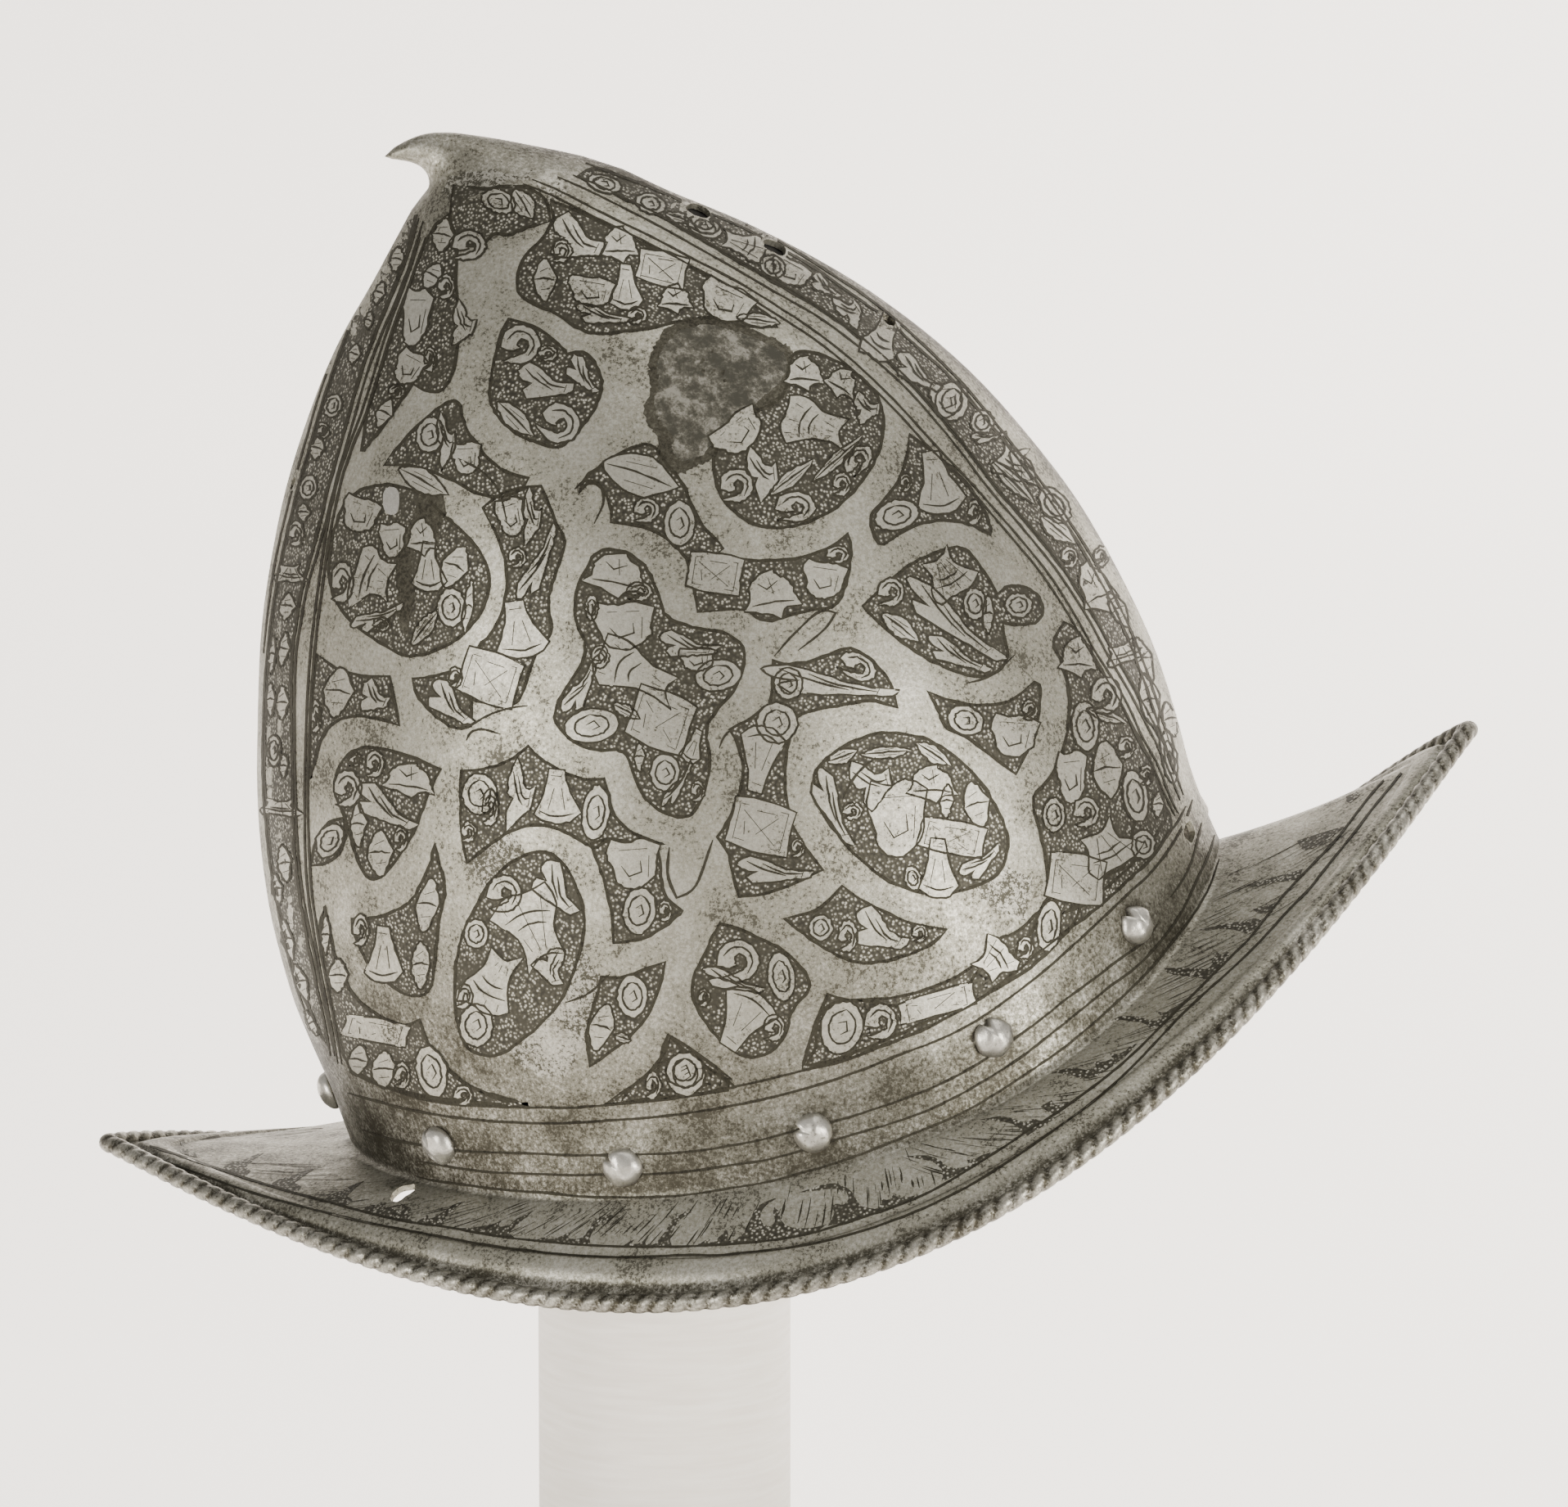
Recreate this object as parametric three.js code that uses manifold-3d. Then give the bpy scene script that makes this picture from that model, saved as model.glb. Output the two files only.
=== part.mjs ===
// Morion helmet of one forged plate, with lining rivets, on a plain post stand.
// Millimetres. +Z is up, +X is the front of the helmet, and the origin is the
// middle of the stand's underside.
import * as THREE from 'three';
import Module from 'manifold-3d';
import { mergeVertices } from 'three/addons/utils/BufferGeometryUtils.js';

const wasm = await Module();
wasm.setup();

// Driving sizes of the skull, from the middle of its base line
const SKULL_FRONT = 110.6;
const SKULL_REAR = 116.3;
const SKULL_HALF_WIDTH = 92.6;
const CROWN_HEIGHT = 197;
const BASE_DROOP = 19.5;
const WALL = 1.5;

// The stalk on the crown, which bends back to a point
const STALK_RISE = 17.2;
const STALK_REACH = 33.4;
const STALK_HALF_WIDTH = 16.5;

// The neck, where the skull turns out into the brim
const NECK_FRONT = 111.5;
const NECK_REAR = 113.4;
const NECK_HALF_WIDTH = 92.5;
const NECK_FRONT_DEPTH = 8;
const NECK_REAR_DEPTH = 16.6;
const NECK_DROOP = 27.8;

// The rim of the brim, at the middle of its rope
const RIM_FRONT = 177.2;
const RIM_REAR = 170.6;
const RIM_HALF_WIDTH = 115;
const RIM_FRONT_HEIGHT = 0.6;
const RIM_REAR_HEIGHT = -0.4;
const RIM_DROOP = 59.5;
const ROPE_DIAMETER = 4.4;
const ROPE_FLUTE_DEPTH = 0.55;
const STRAND_PITCH = 4.7;
const BAND_WIDTH = 11.6;
const BAND_RISE = 1.2;

// Rivets that held the lining, with room round each
const RIVET_HEAD_DIAMETER = 9.6;
const RIVET_HEAD_HEIGHT = 3.6;
const RIVET_SHANK_DIAMETER = 3;
const RIVET_TAIL_DIAMETER = 5.2;
const RIVET_TAIL_HEIGHT = 1;
const GAP = 0.3;

// The post stand and how the helmet sits on it
const POST_DIAMETER = 62;
const FOOT_DIAMETER = 190;
const FOOT_HEIGHT = 14;
const FOOT_EDGE = 3;
const HELMET_HEIGHT = 185;
const HELMET_FORWARD = 26.8;
const HELMET_TILT = 17;

// How finely the round forms are cut
const COLUMNS = 56;
const ROPE_ROWS = [140, 70, 0, -70, -140];
const RIVET_SIDES = 9;
const POST_SIDES = 28;

// Skull sections from the base line to the crown. Columns: height at the front,
// height at the rear (shares of CROWN_HEIGHT), reach to the front, reach to the
// rear, half width (shares of their named sizes), roundness exponent of the
// plan (0.5 is an ellipse, 1 comes to a point), share of BASE_DROOP.
const SKULL = [
  [0.000, -0.008, 1.000, 0.981, 0.983, 0.56, 1.00],
  [0.061, 0.061, 0.994, 0.993, 0.996, 0.57, 0.80],
  [0.127, 0.127, 0.996, 1.000, 1.000, 0.59, 0.62],
  [0.228, 0.228, 0.991, 0.989, 0.988, 0.62, 0.38],
  [0.345, 0.345, 0.960, 0.950, 0.950, 0.66, 0.18],
  [0.467, 0.467, 0.898, 0.887, 0.880, 0.70, 0.06],
  [0.589, 0.589, 0.804, 0.809, 0.782, 0.73, 0.00],
  [0.701, 0.701, 0.683, 0.709, 0.663, 0.75, 0.00],
  [0.797, 0.797, 0.538, 0.599, 0.532, 0.77, 0.00],
  [0.873, 0.873, 0.400, 0.492, 0.412, 0.78, 0.00],
  [0.934, 0.934, 0.268, 0.385, 0.305, 0.78, 0.00],
  [0.975, 0.975, 0.187, 0.315, 0.225, 0.76, 0.00],
];

// Stalk sections from the crown to the point. Columns: backward reach of the
// upper line, its rise, backward reach of the under line, its rise, half width
// (shares of STALK_REACH, STALK_RISE and STALK_HALF_WIDTH), roundness exponent.
const STALK = [
  [-0.374, 0.058, 0.928, 0.035, 1.000, 0.72],
  [-0.216, 0.233, 0.835, 0.163, 0.788, 0.68],
  [0.000, 0.453, 0.760, 0.267, 0.594, 0.62],
  [0.165, 0.616, 0.740, 0.395, 0.448, 0.56],
  [0.329, 0.767, 0.749, 0.500, 0.333, 0.50],
  [0.494, 0.907, 0.778, 0.593, 0.255, 0.50],
  [0.659, 0.994, 0.835, 0.680, 0.206, 0.50],
  [0.793, 0.988, 0.898, 0.744, 0.164, 0.50],
  [0.913, 0.942, 0.952, 0.791, 0.103, 0.50],
];
const STALK_POINT = [1, 0.86];

// The wall between base line and neck, and the leaf border of the brim, as
// shares of the way down and out
const NECK_LEVELS = [0.5, 0.88];
const LEAF_LEVELS = [0.1, 0.45, 1];

// The raised band along the brim. Columns: share of the band's width from its
// inner line, share of BAND_RISE.
const BAND = [
  [0.14, 0.85],
  [0.50, 1.00],
  [0.78, 0.25],
];

// Rows of the plate that its inside follows, counted in the tables above
const INNER_SKULL_ROWS = [11, 10, 9, 8, 7, 6, 4, 2, 0];
const INNER_LEAF_LEVELS = [0.3, 1];
const INNER_BAND_SHARE = 0.6;
const ROW_SPAN = 0.1;

// Rivets on the neck of the right side, mirrored to the left. Columns: angle
// from the front in degrees, level between base line and neck. The one nearest
// the front on the right is lost, and its hole is open.
const REAR_RIVET = [180, 0.15];
const SIDE_RIVETS = [
  [140, 0.27],
  [113, 0.52],
  [89, 0.50],
  [64, 0.27],
  [38, 0.20],
];
const FRONT_RIVET = [15, 0.12];

// Holes worn or pierced through the plate. Columns: angle from the front, level
// in the skull table, length along the ridge, height, whether it goes through
// both flanks.
const RIDGE_HOLES = [
  [16, 9.5, 4.6, 2.6, true],
  [16, 8.45, 4.8, 3.4, false],
  [13, 7.05, 2.4, 2.2, false],
  [171, 7.25, 1.6, 1.6, false],
];

// The tear at the rear of the brim: a hole beside the neck and a crack from it
const TEAR_ANGLE = 142;
const TEAR_SHARE = 0.2;
const TEAR_LENGTH = 6;
const TEAR_WIDTH = 4.4;
const CRACK_ANGLE = 136.5;
const CRACK_SHARE = 0.5;
const CRACK_LENGTH = 9;
const CRACK_WIDTH = 0.9;

const RIGHT = -1;
const LEFT = 1;
const DEGREE = Math.PI / 180;

const steel = (color, roughness) =>
  new THREE.MeshStandardMaterial({ color, roughness, metalness: 0.85 });
const plateSteel = steel(0x8d8e88, 0.45);
const rivetSteel = steel(0xa6a7a4, 0.35);
const paintedPost = new THREE.MeshStandardMaterial({ color: 0xe9e4de, roughness: 0.8, metalness: 0 });

const mix = (a, b, share) => a + (b - a) * share;
const mixPoints = (a, b, share) => a.clone().lerp(b, share);

// One closed plan line. The angle runs from the front over the right side, the
// droop lets the sides hang, and lean moves its lowest place to the front.
const PLAN_FULLNESS = 2.2;
const SKULL_LEAN = 0.04;
function planPoint(angle, line) {
  const along = Math.cos(angle);
  const side = Math.sin(angle) >= 0 ? RIGHT : LEFT;
  const fullness = line.fullness ?? PLAN_FULLNESS;
  const out = Math.max(0, 1 - Math.abs(along) ** fullness) ** line.roundness;
  const hang = Math.sin(angle + (line.lean ?? 0) * Math.sin(angle)) ** 2;
  return new THREE.Vector3(
    mix(-line.rear, line.front, (1 + along) / 2),
    side * line.half * out,
    mix(line.rearUp, line.frontUp, (1 + along) / 2) - (line.droop ?? 0) * hang ** (line.spread ?? 1)
  );
}

function skullPoint(angle, level) {
  const low = Math.min(Math.floor(level), SKULL.length - 2);
  const points = [low, low + 1].map((index) => {
    const [frontUp, rearUp, front, rear, half, roundness, droop] = SKULL[index];
    return planPoint(angle, {
      front: front * SKULL_FRONT,
      rear: rear * SKULL_REAR,
      frontUp: frontUp * CROWN_HEIGHT,
      rearUp: rearUp * CROWN_HEIGHT,
      half: half * SKULL_HALF_WIDTH,
      roundness,
      droop: droop * BASE_DROOP,
      lean: SKULL_LEAN,
    });
  });
  return mixPoints(points[0], points[1], level - low);
}

function stalkPoint(angle, [topBack, topRise, underBack, underRise, half, roundness]) {
  return planPoint(angle, {
    front: -topBack * STALK_REACH,
    rear: underBack * STALK_REACH,
    frontUp: CROWN_HEIGHT + topRise * STALK_RISE,
    rearUp: CROWN_HEIGHT + underRise * STALK_RISE,
    half: half * STALK_HALF_WIDTH,
    roundness,
  });
}

const NECK_SHAPE = { roundness: 0.58, lean: 0.21, spread: 0.88 };
const neckLine = (angle) => planPoint(angle, {
  ...NECK_SHAPE,
  front: NECK_FRONT,
  rear: NECK_REAR,
  frontUp: -NECK_FRONT_DEPTH,
  rearUp: -NECK_REAR_DEPTH,
  half: NECK_HALF_WIDTH,
  droop: NECK_DROOP,
});

const RIM_SHAPE = { roundness: 0.95, fullness: 2, lean: -0.03, spread: 1.12 };
const rimLine = (angle) => planPoint(angle, {
  ...RIM_SHAPE,
  front: RIM_FRONT,
  rear: RIM_REAR,
  frontUp: RIM_FRONT_HEIGHT,
  rearUp: RIM_REAR_HEIGHT,
  half: RIM_HALF_WIDTH,
  droop: RIM_DROOP,
});

const neckPoint = (angle, level) => mixPoints(skullPoint(angle, 0), neckLine(angle), level);

// The brim dips from the neck and rises to the rim, more so at its two ends
const DIP_FRONT = 2.3;
const DIP_REAR = 1.45;
function brimPoint(angle, share) {
  const neck = neckLine(angle);
  const rim = rimLine(angle);
  const sideways = Math.sin(angle) ** 2;
  const end = Math.cos(angle) > 0 ? DIP_FRONT : DIP_REAR;
  const point = mixPoints(neck, rim, share);
  point.z = mix(neck.z, rim.z, share ** mix(end, 1, sideways));
  return point;
}

// The share of the brim at which the raised band starts. The band keeps its
// width from the rim, which the two pointed ends cut at a slant.
const END_STRETCH = 0.4;
function bandStart(angle) {
  const stretch = 1 + END_STRETCH * Math.cos(angle) ** 2;
  return 1 - (BAND_WIDTH * stretch) / neckLine(angle).distanceTo(rimLine(angle));
}

function bandPoint(angle, share, rise) {
  const point = brimPoint(angle, mix(bandStart(angle), 1, share));
  point.z += rise * BAND_RISE;
  return point;
}

const evenAngles = Array.from({ length: COLUMNS }, (_, column) => (column / COLUMNS) * 2 * Math.PI);
const rowOf = (pointAt) => ({ angles: evenAngles, points: evenAngles.map(pointAt) });

// Moves each point of a row in by the wall, at right angles to the plate as the
// rows above and below it show it
function insideOf(row, above, below) {
  const count = row.points.length;
  const points = row.points.map((point, column) => {
    const before = row.points[(column + count - 1) % count];
    const after = row.points[(column + 1) % count];
    const upward = above.points[column].clone().sub(below.points[column]);
    const first = upward.clone().cross(point.clone().sub(before)).normalize();
    const second = upward.clone().cross(after.clone().sub(point)).normalize();
    const normal = first.clone().add(second).normalize();
    return point.clone().addScaledVector(normal, -WALL / Math.max(normal.dot(first), 0.5));
  });
  return { angles: row.angles, points };
}

// Angles that part the rim into strands of one length, with two columns each
const RIM_STEPS = 1440;
function strandAngles() {
  const fine = RIM_STEPS;
  const lengths = [0];
  for (let step = 1; step <= fine; step += 1) {
    const last = rimLine(((step - 1) / fine) * 2 * Math.PI);
    lengths.push(lengths[step - 1] + last.distanceTo(rimLine((step / fine) * 2 * Math.PI)));
  }
  const total = lengths[fine];
  const strands = Math.round(total / STRAND_PITCH);
  const angleAt = (share) => {
    const length = (((share % 1) + 1) % 1) * total;
    const step = Math.max(1, lengths.findIndex((value) => value >= length));
    const within = (length - lengths[step - 1]) / (lengths[step] - lengths[step - 1]);
    return ((step - 1 + within) / fine) * 2 * Math.PI + Math.floor(share) * 2 * Math.PI;
  };
  return { strands, angleAt };
}

// The rope of the turned edge, as rows of points round its middle line. Each
// strand has a crest and a groove, and the grooves run on a slant.
const STRAND_SLANT = 0.9;
const ANGLE_STEP = 0.01;
const NEAR_RIM = 0.9;
function ropeRows() {
  const { strands, angleAt } = strandAngles();
  return ROPE_ROWS.map((turn) => {
    const angles = [];
    const points = [];
    for (let column = 0; column < strands * 2; column += 1) {
      const slant = (turn / 360) * STRAND_SLANT;
      const angle = angleAt((column / 2 + slant) / strands);
      const middle = rimLine(angle);
      const tangent = rimLine(angle + ANGLE_STEP).sub(rimLine(angle - ANGLE_STEP)).normalize();
      const inward = brimPoint(angle, NEAR_RIM).sub(middle);
      const out = inward.addScaledVector(tangent, -inward.dot(tangent)).normalize().negate();
      const up = tangent.clone().cross(out).normalize();
      if (up.z < 0) up.negate();
      const radius = ROPE_DIAMETER / 2 - (column % 2 ? ROPE_FLUTE_DEPTH : 0);
      middle.addScaledVector(out, Math.cos(turn * DEGREE) * radius);
      middle.addScaledVector(up, Math.sin(turn * DEGREE) * radius);
      angles.push(angle);
      points.push(middle);
    }
    return { angles, points };
  });
}

// A closed surface through rows of points, with a pole before the first row
// and after the last. Rows may hold different numbers of points. The faces
// point out where the rows run down the inside first, and turned is for rows
// that run down the outside.
function closedSurface(firstPole, rows, lastPole, turned = false) {
  const positions = [];
  const put = (point) => positions.push(point.x, point.y, point.z);
  const face = (a, b, c) => (turned ? [a, b, c] : [a, c, b]).forEach(put);
  rows.forEach((row, index) => {
    const next = rows[index + 1];
    if (next) stitch(row, next, face);
  });
  const fan = (row, pole, flip) => row.points.forEach((point, column) => {
    const after = row.points[(column + 1) % row.points.length];
    if (flip) face(after, point, pole);
    else face(point, after, pole);
  });
  fan(rows[0], firstPole, true);
  fan(rows[rows.length - 1], lastPole, false);
  const geometry = new THREE.BufferGeometry();
  geometry.setAttribute('position', new THREE.Float32BufferAttribute(positions, 3));
  return geometry;
}

// Joins two rows column by column, or by their angles where their numbers differ
function stitch(lower, upper, face) {
  const turn = 2 * Math.PI;
  const at = (row, index) => row.points[index % row.points.length];
  const angleOf = (row, index) =>
    row.angles[index % row.points.length] + Math.floor(index / row.points.length) * turn;
  let i = 0;
  let j = 0;
  while (i < lower.points.length || j < upper.points.length) {
    const lowerDone = i >= lower.points.length;
    const upperDone = j >= upper.points.length;
    const lowerNext = angleOf(lower, i + 1);
    const upperNext = angleOf(upper, j + 1);
    if (!lowerDone && (upperDone || lowerNext <= upperNext)) {
      face(at(lower, i), at(lower, i + 1), at(upper, j));
      i += 1;
    } else {
      face(at(lower, i), at(upper, j + 1), at(upper, j));
      j += 1;
    }
  }
}

function solidOf(geometry) {
  const bare = geometry.clone();
  bare.deleteAttribute('normal');
  bare.deleteAttribute('uv');
  const merged = mergeVertices(bare, 1e-5);
  const index = merged.index ? merged.index.array : [...merged.attributes.position.array.keys()];
  return new wasm.Manifold(new wasm.Mesh({
    numProp: 3,
    vertProperties: new Float32Array(merged.attributes.position.array),
    triVerts: new Uint32Array(index),
  }));
}

function geometryOf(solid) {
  const mesh = solid.getMesh();
  const geometry = new THREE.BufferGeometry();
  geometry.setAttribute('position', new THREE.Float32BufferAttribute(mesh.vertProperties, 3));
  geometry.setIndex(Array.from(mesh.triVerts));
  return geometry;
}

// A place on the plate with its outward direction, from the surface beside it
function seatOn(pointAt, angle, level, side = RIGHT) {
  const turn = side === RIGHT ? angle : -angle;
  const step = 2 * ANGLE_STEP;
  const point = pointAt(turn, level);
  const along = pointAt(turn + step, level).sub(pointAt(turn - step, level));
  const upward = pointAt(turn, level + step).sub(pointAt(turn, level - step));
  const normal = along.cross(upward).normalize();
  const middle = new THREE.Vector3(0, 0, point.z);
  if (normal.dot(point.clone().sub(middle)) < 0) normal.negate();
  return { point, normal };
}

function placeAlong(geometry, { point, normal }) {
  const turn = new THREE.Quaternion().setFromUnitVectors(new THREE.Vector3(0, 1, 0), normal);
  return geometry.applyMatrix4(new THREE.Matrix4().compose(point, turn, new THREE.Vector3(1, 1, 1)));
}

// All rivet places: the rear one, then the sides from rear to front
const rivetSeats = [
  seatOn(neckPoint, REAR_RIVET[0] * DEGREE, REAR_RIVET[1]),
  ...[RIGHT, LEFT].flatMap((side) => SIDE_RIVETS.map(([angle, level]) =>
    seatOn(neckPoint, angle * DEGREE, level, side))),
  seatOn(neckPoint, FRONT_RIVET[0] * DEGREE, FRONT_RIVET[1], LEFT),
];
const lostRivetSeat = seatOn(neckPoint, FRONT_RIVET[0] * DEGREE, FRONT_RIVET[1], RIGHT);

function borer(diameter, length, sides) {
  return new THREE.CylinderGeometry(diameter / 2, diameter / 2, length, sides);
}

function rivetHole(seat) {
  return placeAlong(borer(RIVET_SHANK_DIAMETER + 2 * GAP, 6 * WALL, RIVET_SIDES), seat);
}

// A hole near the ridge is bored level from the right, through one flank or two
function ridgeHole([angle, level, length, height, through]) {
  const seat = seatOn(skullPoint, angle * DEGREE, level);
  const depth = through ? 4 * Math.abs(seat.point.y) + 4 * WALL : Math.abs(seat.point.y) + WALL;
  const middle = through ? 0 : seat.point.y - depth / 2 + Math.abs(seat.point.y);
  const geometry = borer(1, depth, 8).scale(length, 1, height);
  return geometry.translate(seat.point.x, middle, seat.point.z);
}

function brimCut(angle, share, length, width, sides) {
  const seat = seatOn(brimPoint, angle * DEGREE, share);
  if (seat.normal.z < 0) seat.normal.negate();
  const along = rimLine(angle * DEGREE).sub(neckLine(angle * DEGREE));
  const geometry = borer(1, 6 * WALL, sides).scale(length, 1, width);
  placeAlong(geometry, { point: new THREE.Vector3(), normal: seat.normal });
  const lengthwise = new THREE.Vector3(1, 0, 0).applyQuaternion(
    new THREE.Quaternion().setFromUnitVectors(new THREE.Vector3(0, 1, 0), seat.normal)
  );
  along.addScaledVector(seat.normal, -along.dot(seat.normal)).normalize();
  geometry.applyQuaternion(new THREE.Quaternion().setFromUnitVectors(lengthwise, along));
  return geometry.translate(seat.point.x, seat.point.y, seat.point.z);
}

// The plate from the crown's inside down to the rim and back up to the point
const outerSkull = SKULL.map((_, level) => rowOf((angle) => skullPoint(angle, level)));
const outerStalk = STALK.map((section) => rowOf((angle) => stalkPoint(angle, section)));
const outerNeck = NECK_LEVELS.map((level) => rowOf((angle) => neckPoint(angle, level)));
const outerLeaf = LEAF_LEVELS.map((level) =>
  rowOf((angle) => brimPoint(angle, level * bandStart(angle))));
const outerBand = BAND.map(([share, rise]) => rowOf((angle) => bandPoint(angle, share, rise)));
const neckTurn = rowOf(neckLine);

function innerRows() {
  const skullRows = INNER_SKULL_ROWS.map((level) => insideOf(
    outerSkull[level],
    outerSkull[level + 1] ?? outerStalk[0],
    outerSkull[level - 1] ?? outerNeck[0]
  ));
  const neckRow = insideOf(outerNeck[0], outerSkull[0], outerNeck[1]);
  const turnRow = insideOf(neckTurn, outerNeck[1], outerLeaf[0]);
  const leafRows = INNER_LEAF_LEVELS.map((level) => {
    const rowAt = (share) => rowOf((angle) => brimPoint(angle, share * bandStart(angle)));
    return insideOf(rowAt(level), rowAt(level - ROW_SPAN), rowAt(level + ROW_SPAN));
  });
  const bandAt = (share) => rowOf((angle) => bandPoint(angle, share, 0));
  const bandRow = insideOf(
    bandAt(INNER_BAND_SHARE),
    bandAt(INNER_BAND_SHARE - ROW_SPAN),
    bandAt(INNER_BAND_SHARE + ROW_SPAN)
  );
  return [...skullRows, neckRow, turnRow, ...leafRows, bandRow];
}

function crownPole(row, rise) {
  const middle = new THREE.Vector3();
  row.points.forEach((point) => middle.add(point));
  middle.divideScalar(row.points.length);
  middle.z += rise;
  return middle;
}

const inside = innerRows();
const CROWN_POLE_RISE = 1.5;
const insidePole = crownPole(inside[0], CROWN_POLE_RISE);
const stalkPoleAt = new THREE.Vector3(
  -STALK_POINT[0] * STALK_REACH,
  0,
  CROWN_HEIGHT + STALK_POINT[1] * STALK_RISE
);

function helmetShell() {
  const outside = [
    ...[...outerBand].reverse(),
    ...[...outerLeaf].reverse(),
    neckTurn,
    ...[...outerNeck].reverse(),
    ...outerSkull,
    ...outerStalk,
  ];
  const rope = ropeRows().reverse();
  let solid = solidOf(closedSurface(insidePole, [...inside, ...rope, ...outside], stalkPoleAt));
  const cutters = [
    ...rivetSeats.map(rivetHole),
    rivetHole(lostRivetSeat),
    ...RIDGE_HOLES.map(ridgeHole),
    brimCut(TEAR_ANGLE, TEAR_SHARE, TEAR_LENGTH, TEAR_WIDTH, 7),
    brimCut(CRACK_ANGLE, CRACK_SHARE, CRACK_LENGTH, CRACK_WIDTH, 6),
  ];
  cutters.forEach((cutter) => {
    solid = solid.subtract(solidOf(cutter));
  });
  return geometryOf(solid);
}

// A rivet along +Y: tail inside the plate, shank through it, domed head outside
function rivetGeometry() {
  const shank = RIVET_SHANK_DIAMETER / 2;
  const head = RIVET_HEAD_DIAMETER / 2;
  const tail = RIVET_TAIL_DIAMETER / 2;
  const inner = -WALL - GAP;
  const profile = [
    [0, inner - RIVET_TAIL_HEIGHT],
    [tail, inner],
    [shank, inner],
    [shank, GAP],
    [head, GAP],
    [head * 0.78, GAP + RIVET_HEAD_HEIGHT * 0.7],
    [0, GAP + RIVET_HEAD_HEIGHT],
  ];
  return new THREE.LatheGeometry(profile.map(([x, y]) => new THREE.Vector2(x, y)), RIVET_SIDES);
}

// The stand is turned in one piece. Its head is cut to the inside of the crown,
// with a gap, so the helmet's plate rests on it all round.
const SPLIT_SHARE = 0.2;
const HEAD_SHARE = 1.3;
const HEAD_OVERLAP = 1;
function displayStand() {
  const foot = FOOT_DIAMETER / 2;
  const post = POST_DIAMETER / 2;
  const split = HELMET_HEIGHT + CROWN_HEIGHT * SPLIT_SHARE;
  const profile = [
    [0, 0],
    [foot - FOOT_EDGE, 0],
    [foot, FOOT_EDGE],
    [foot, FOOT_HEIGHT - FOOT_EDGE],
    [foot - FOOT_EDGE, FOOT_HEIGHT],
    [post, FOOT_HEIGHT],
    [post, split],
    [0, split],
  ];
  const turned = new THREE.LatheGeometry(profile.map(([x, y]) => new THREE.Vector2(x, y)), POST_SIDES);
  turned.rotateX(Math.PI / 2);
  const headLength = CROWN_HEIGHT * HEAD_SHARE;
  const head = new THREE.CylinderGeometry(post, post, headLength, POST_SIDES);
  head.rotateX(Math.PI / 2);
  head.translate(0, 0, split - HEAD_OVERLAP + headLength / 2);
  const hollowRows = inside.slice(0, INNER_SKULL_ROWS.length).map(shrinkRow);
  const hollowTop = insidePole.clone();
  hollowTop.z -= GAP;
  const hollowBase = crownPole(hollowRows[hollowRows.length - 1], 0);
  const hollow = closedSurface(hollowTop, hollowRows, hollowBase, true);
  hollow.applyMatrix4(helmetPlace());
  const top = solidOf(head).intersect(solidOf(hollow));
  return geometryOf(solidOf(turned).add(top));
}

// Draws a row of the hollow in by the gap, sideways and down, and a little
// more where its wall slants
const SIDEWAYS_GAP = 1.4 * GAP;
const DOWNWARD_GAP = 1.2 * GAP;
function shrinkRow(row) {
  const middle = crownPole(row, 0);
  const points = row.points.map((point) => {
    const inward = middle.clone().sub(point).setZ(0).normalize();
    return point.clone().addScaledVector(inward, SIDEWAYS_GAP).setZ(point.z - DOWNWARD_GAP);
  });
  return { angles: row.angles, points };
}

function helmetPlace() {
  const turn = new THREE.Quaternion().setFromAxisAngle(new THREE.Vector3(0, -1, 0), HELMET_TILT * DEGREE);
  return new THREE.Matrix4().compose(
    new THREE.Vector3(HELMET_FORWARD, 0, HELMET_HEIGHT),
    turn,
    new THREE.Vector3(1, 1, 1)
  );
}

const group = new THREE.Group();
const helmet = new THREE.Group();
helmet.position.set(HELMET_FORWARD, 0, HELMET_HEIGHT);
helmet.rotation.y = -HELMET_TILT * DEGREE;
group.add(helmet);

function addMesh(parent, name, geometry, material) {
  const mesh = new THREE.Mesh(geometry, material);
  mesh.name = name;
  parent.add(mesh);
  return mesh;
}

addMesh(helmet, 'helmet_shell', helmetShell(), plateSteel);
rivetSeats.forEach((seat, index) => {
  const name = `lining_rivet_${String(index + 1).padStart(2, '0')}`;
  const geometry = rivetGeometry();
  const mesh = addMesh(helmet, name, geometry, rivetSteel);
  mesh.position.copy(seat.point);
  mesh.quaternion.setFromUnitVectors(new THREE.Vector3(0, 1, 0), seat.normal);
});
addMesh(group, 'display_stand', displayStand(), paintedPost);

export default group;
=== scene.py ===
"""Etched steel morion helmet on a plain painted post.

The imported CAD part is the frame. This script dresses it with a fine plate, the
turned rope of the rim, the etched ornament, hammered rivets and the post.
Lengths are millimetres in the helmet's own frame, x forward, y to its left and
z up, until PLACE moves them into the world, in metres.
"""

import math
import random

import bmesh
import bpy
from mathutils import Matrix, Vector, noise
from mathutils.bvhtree import BVHTree


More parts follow.
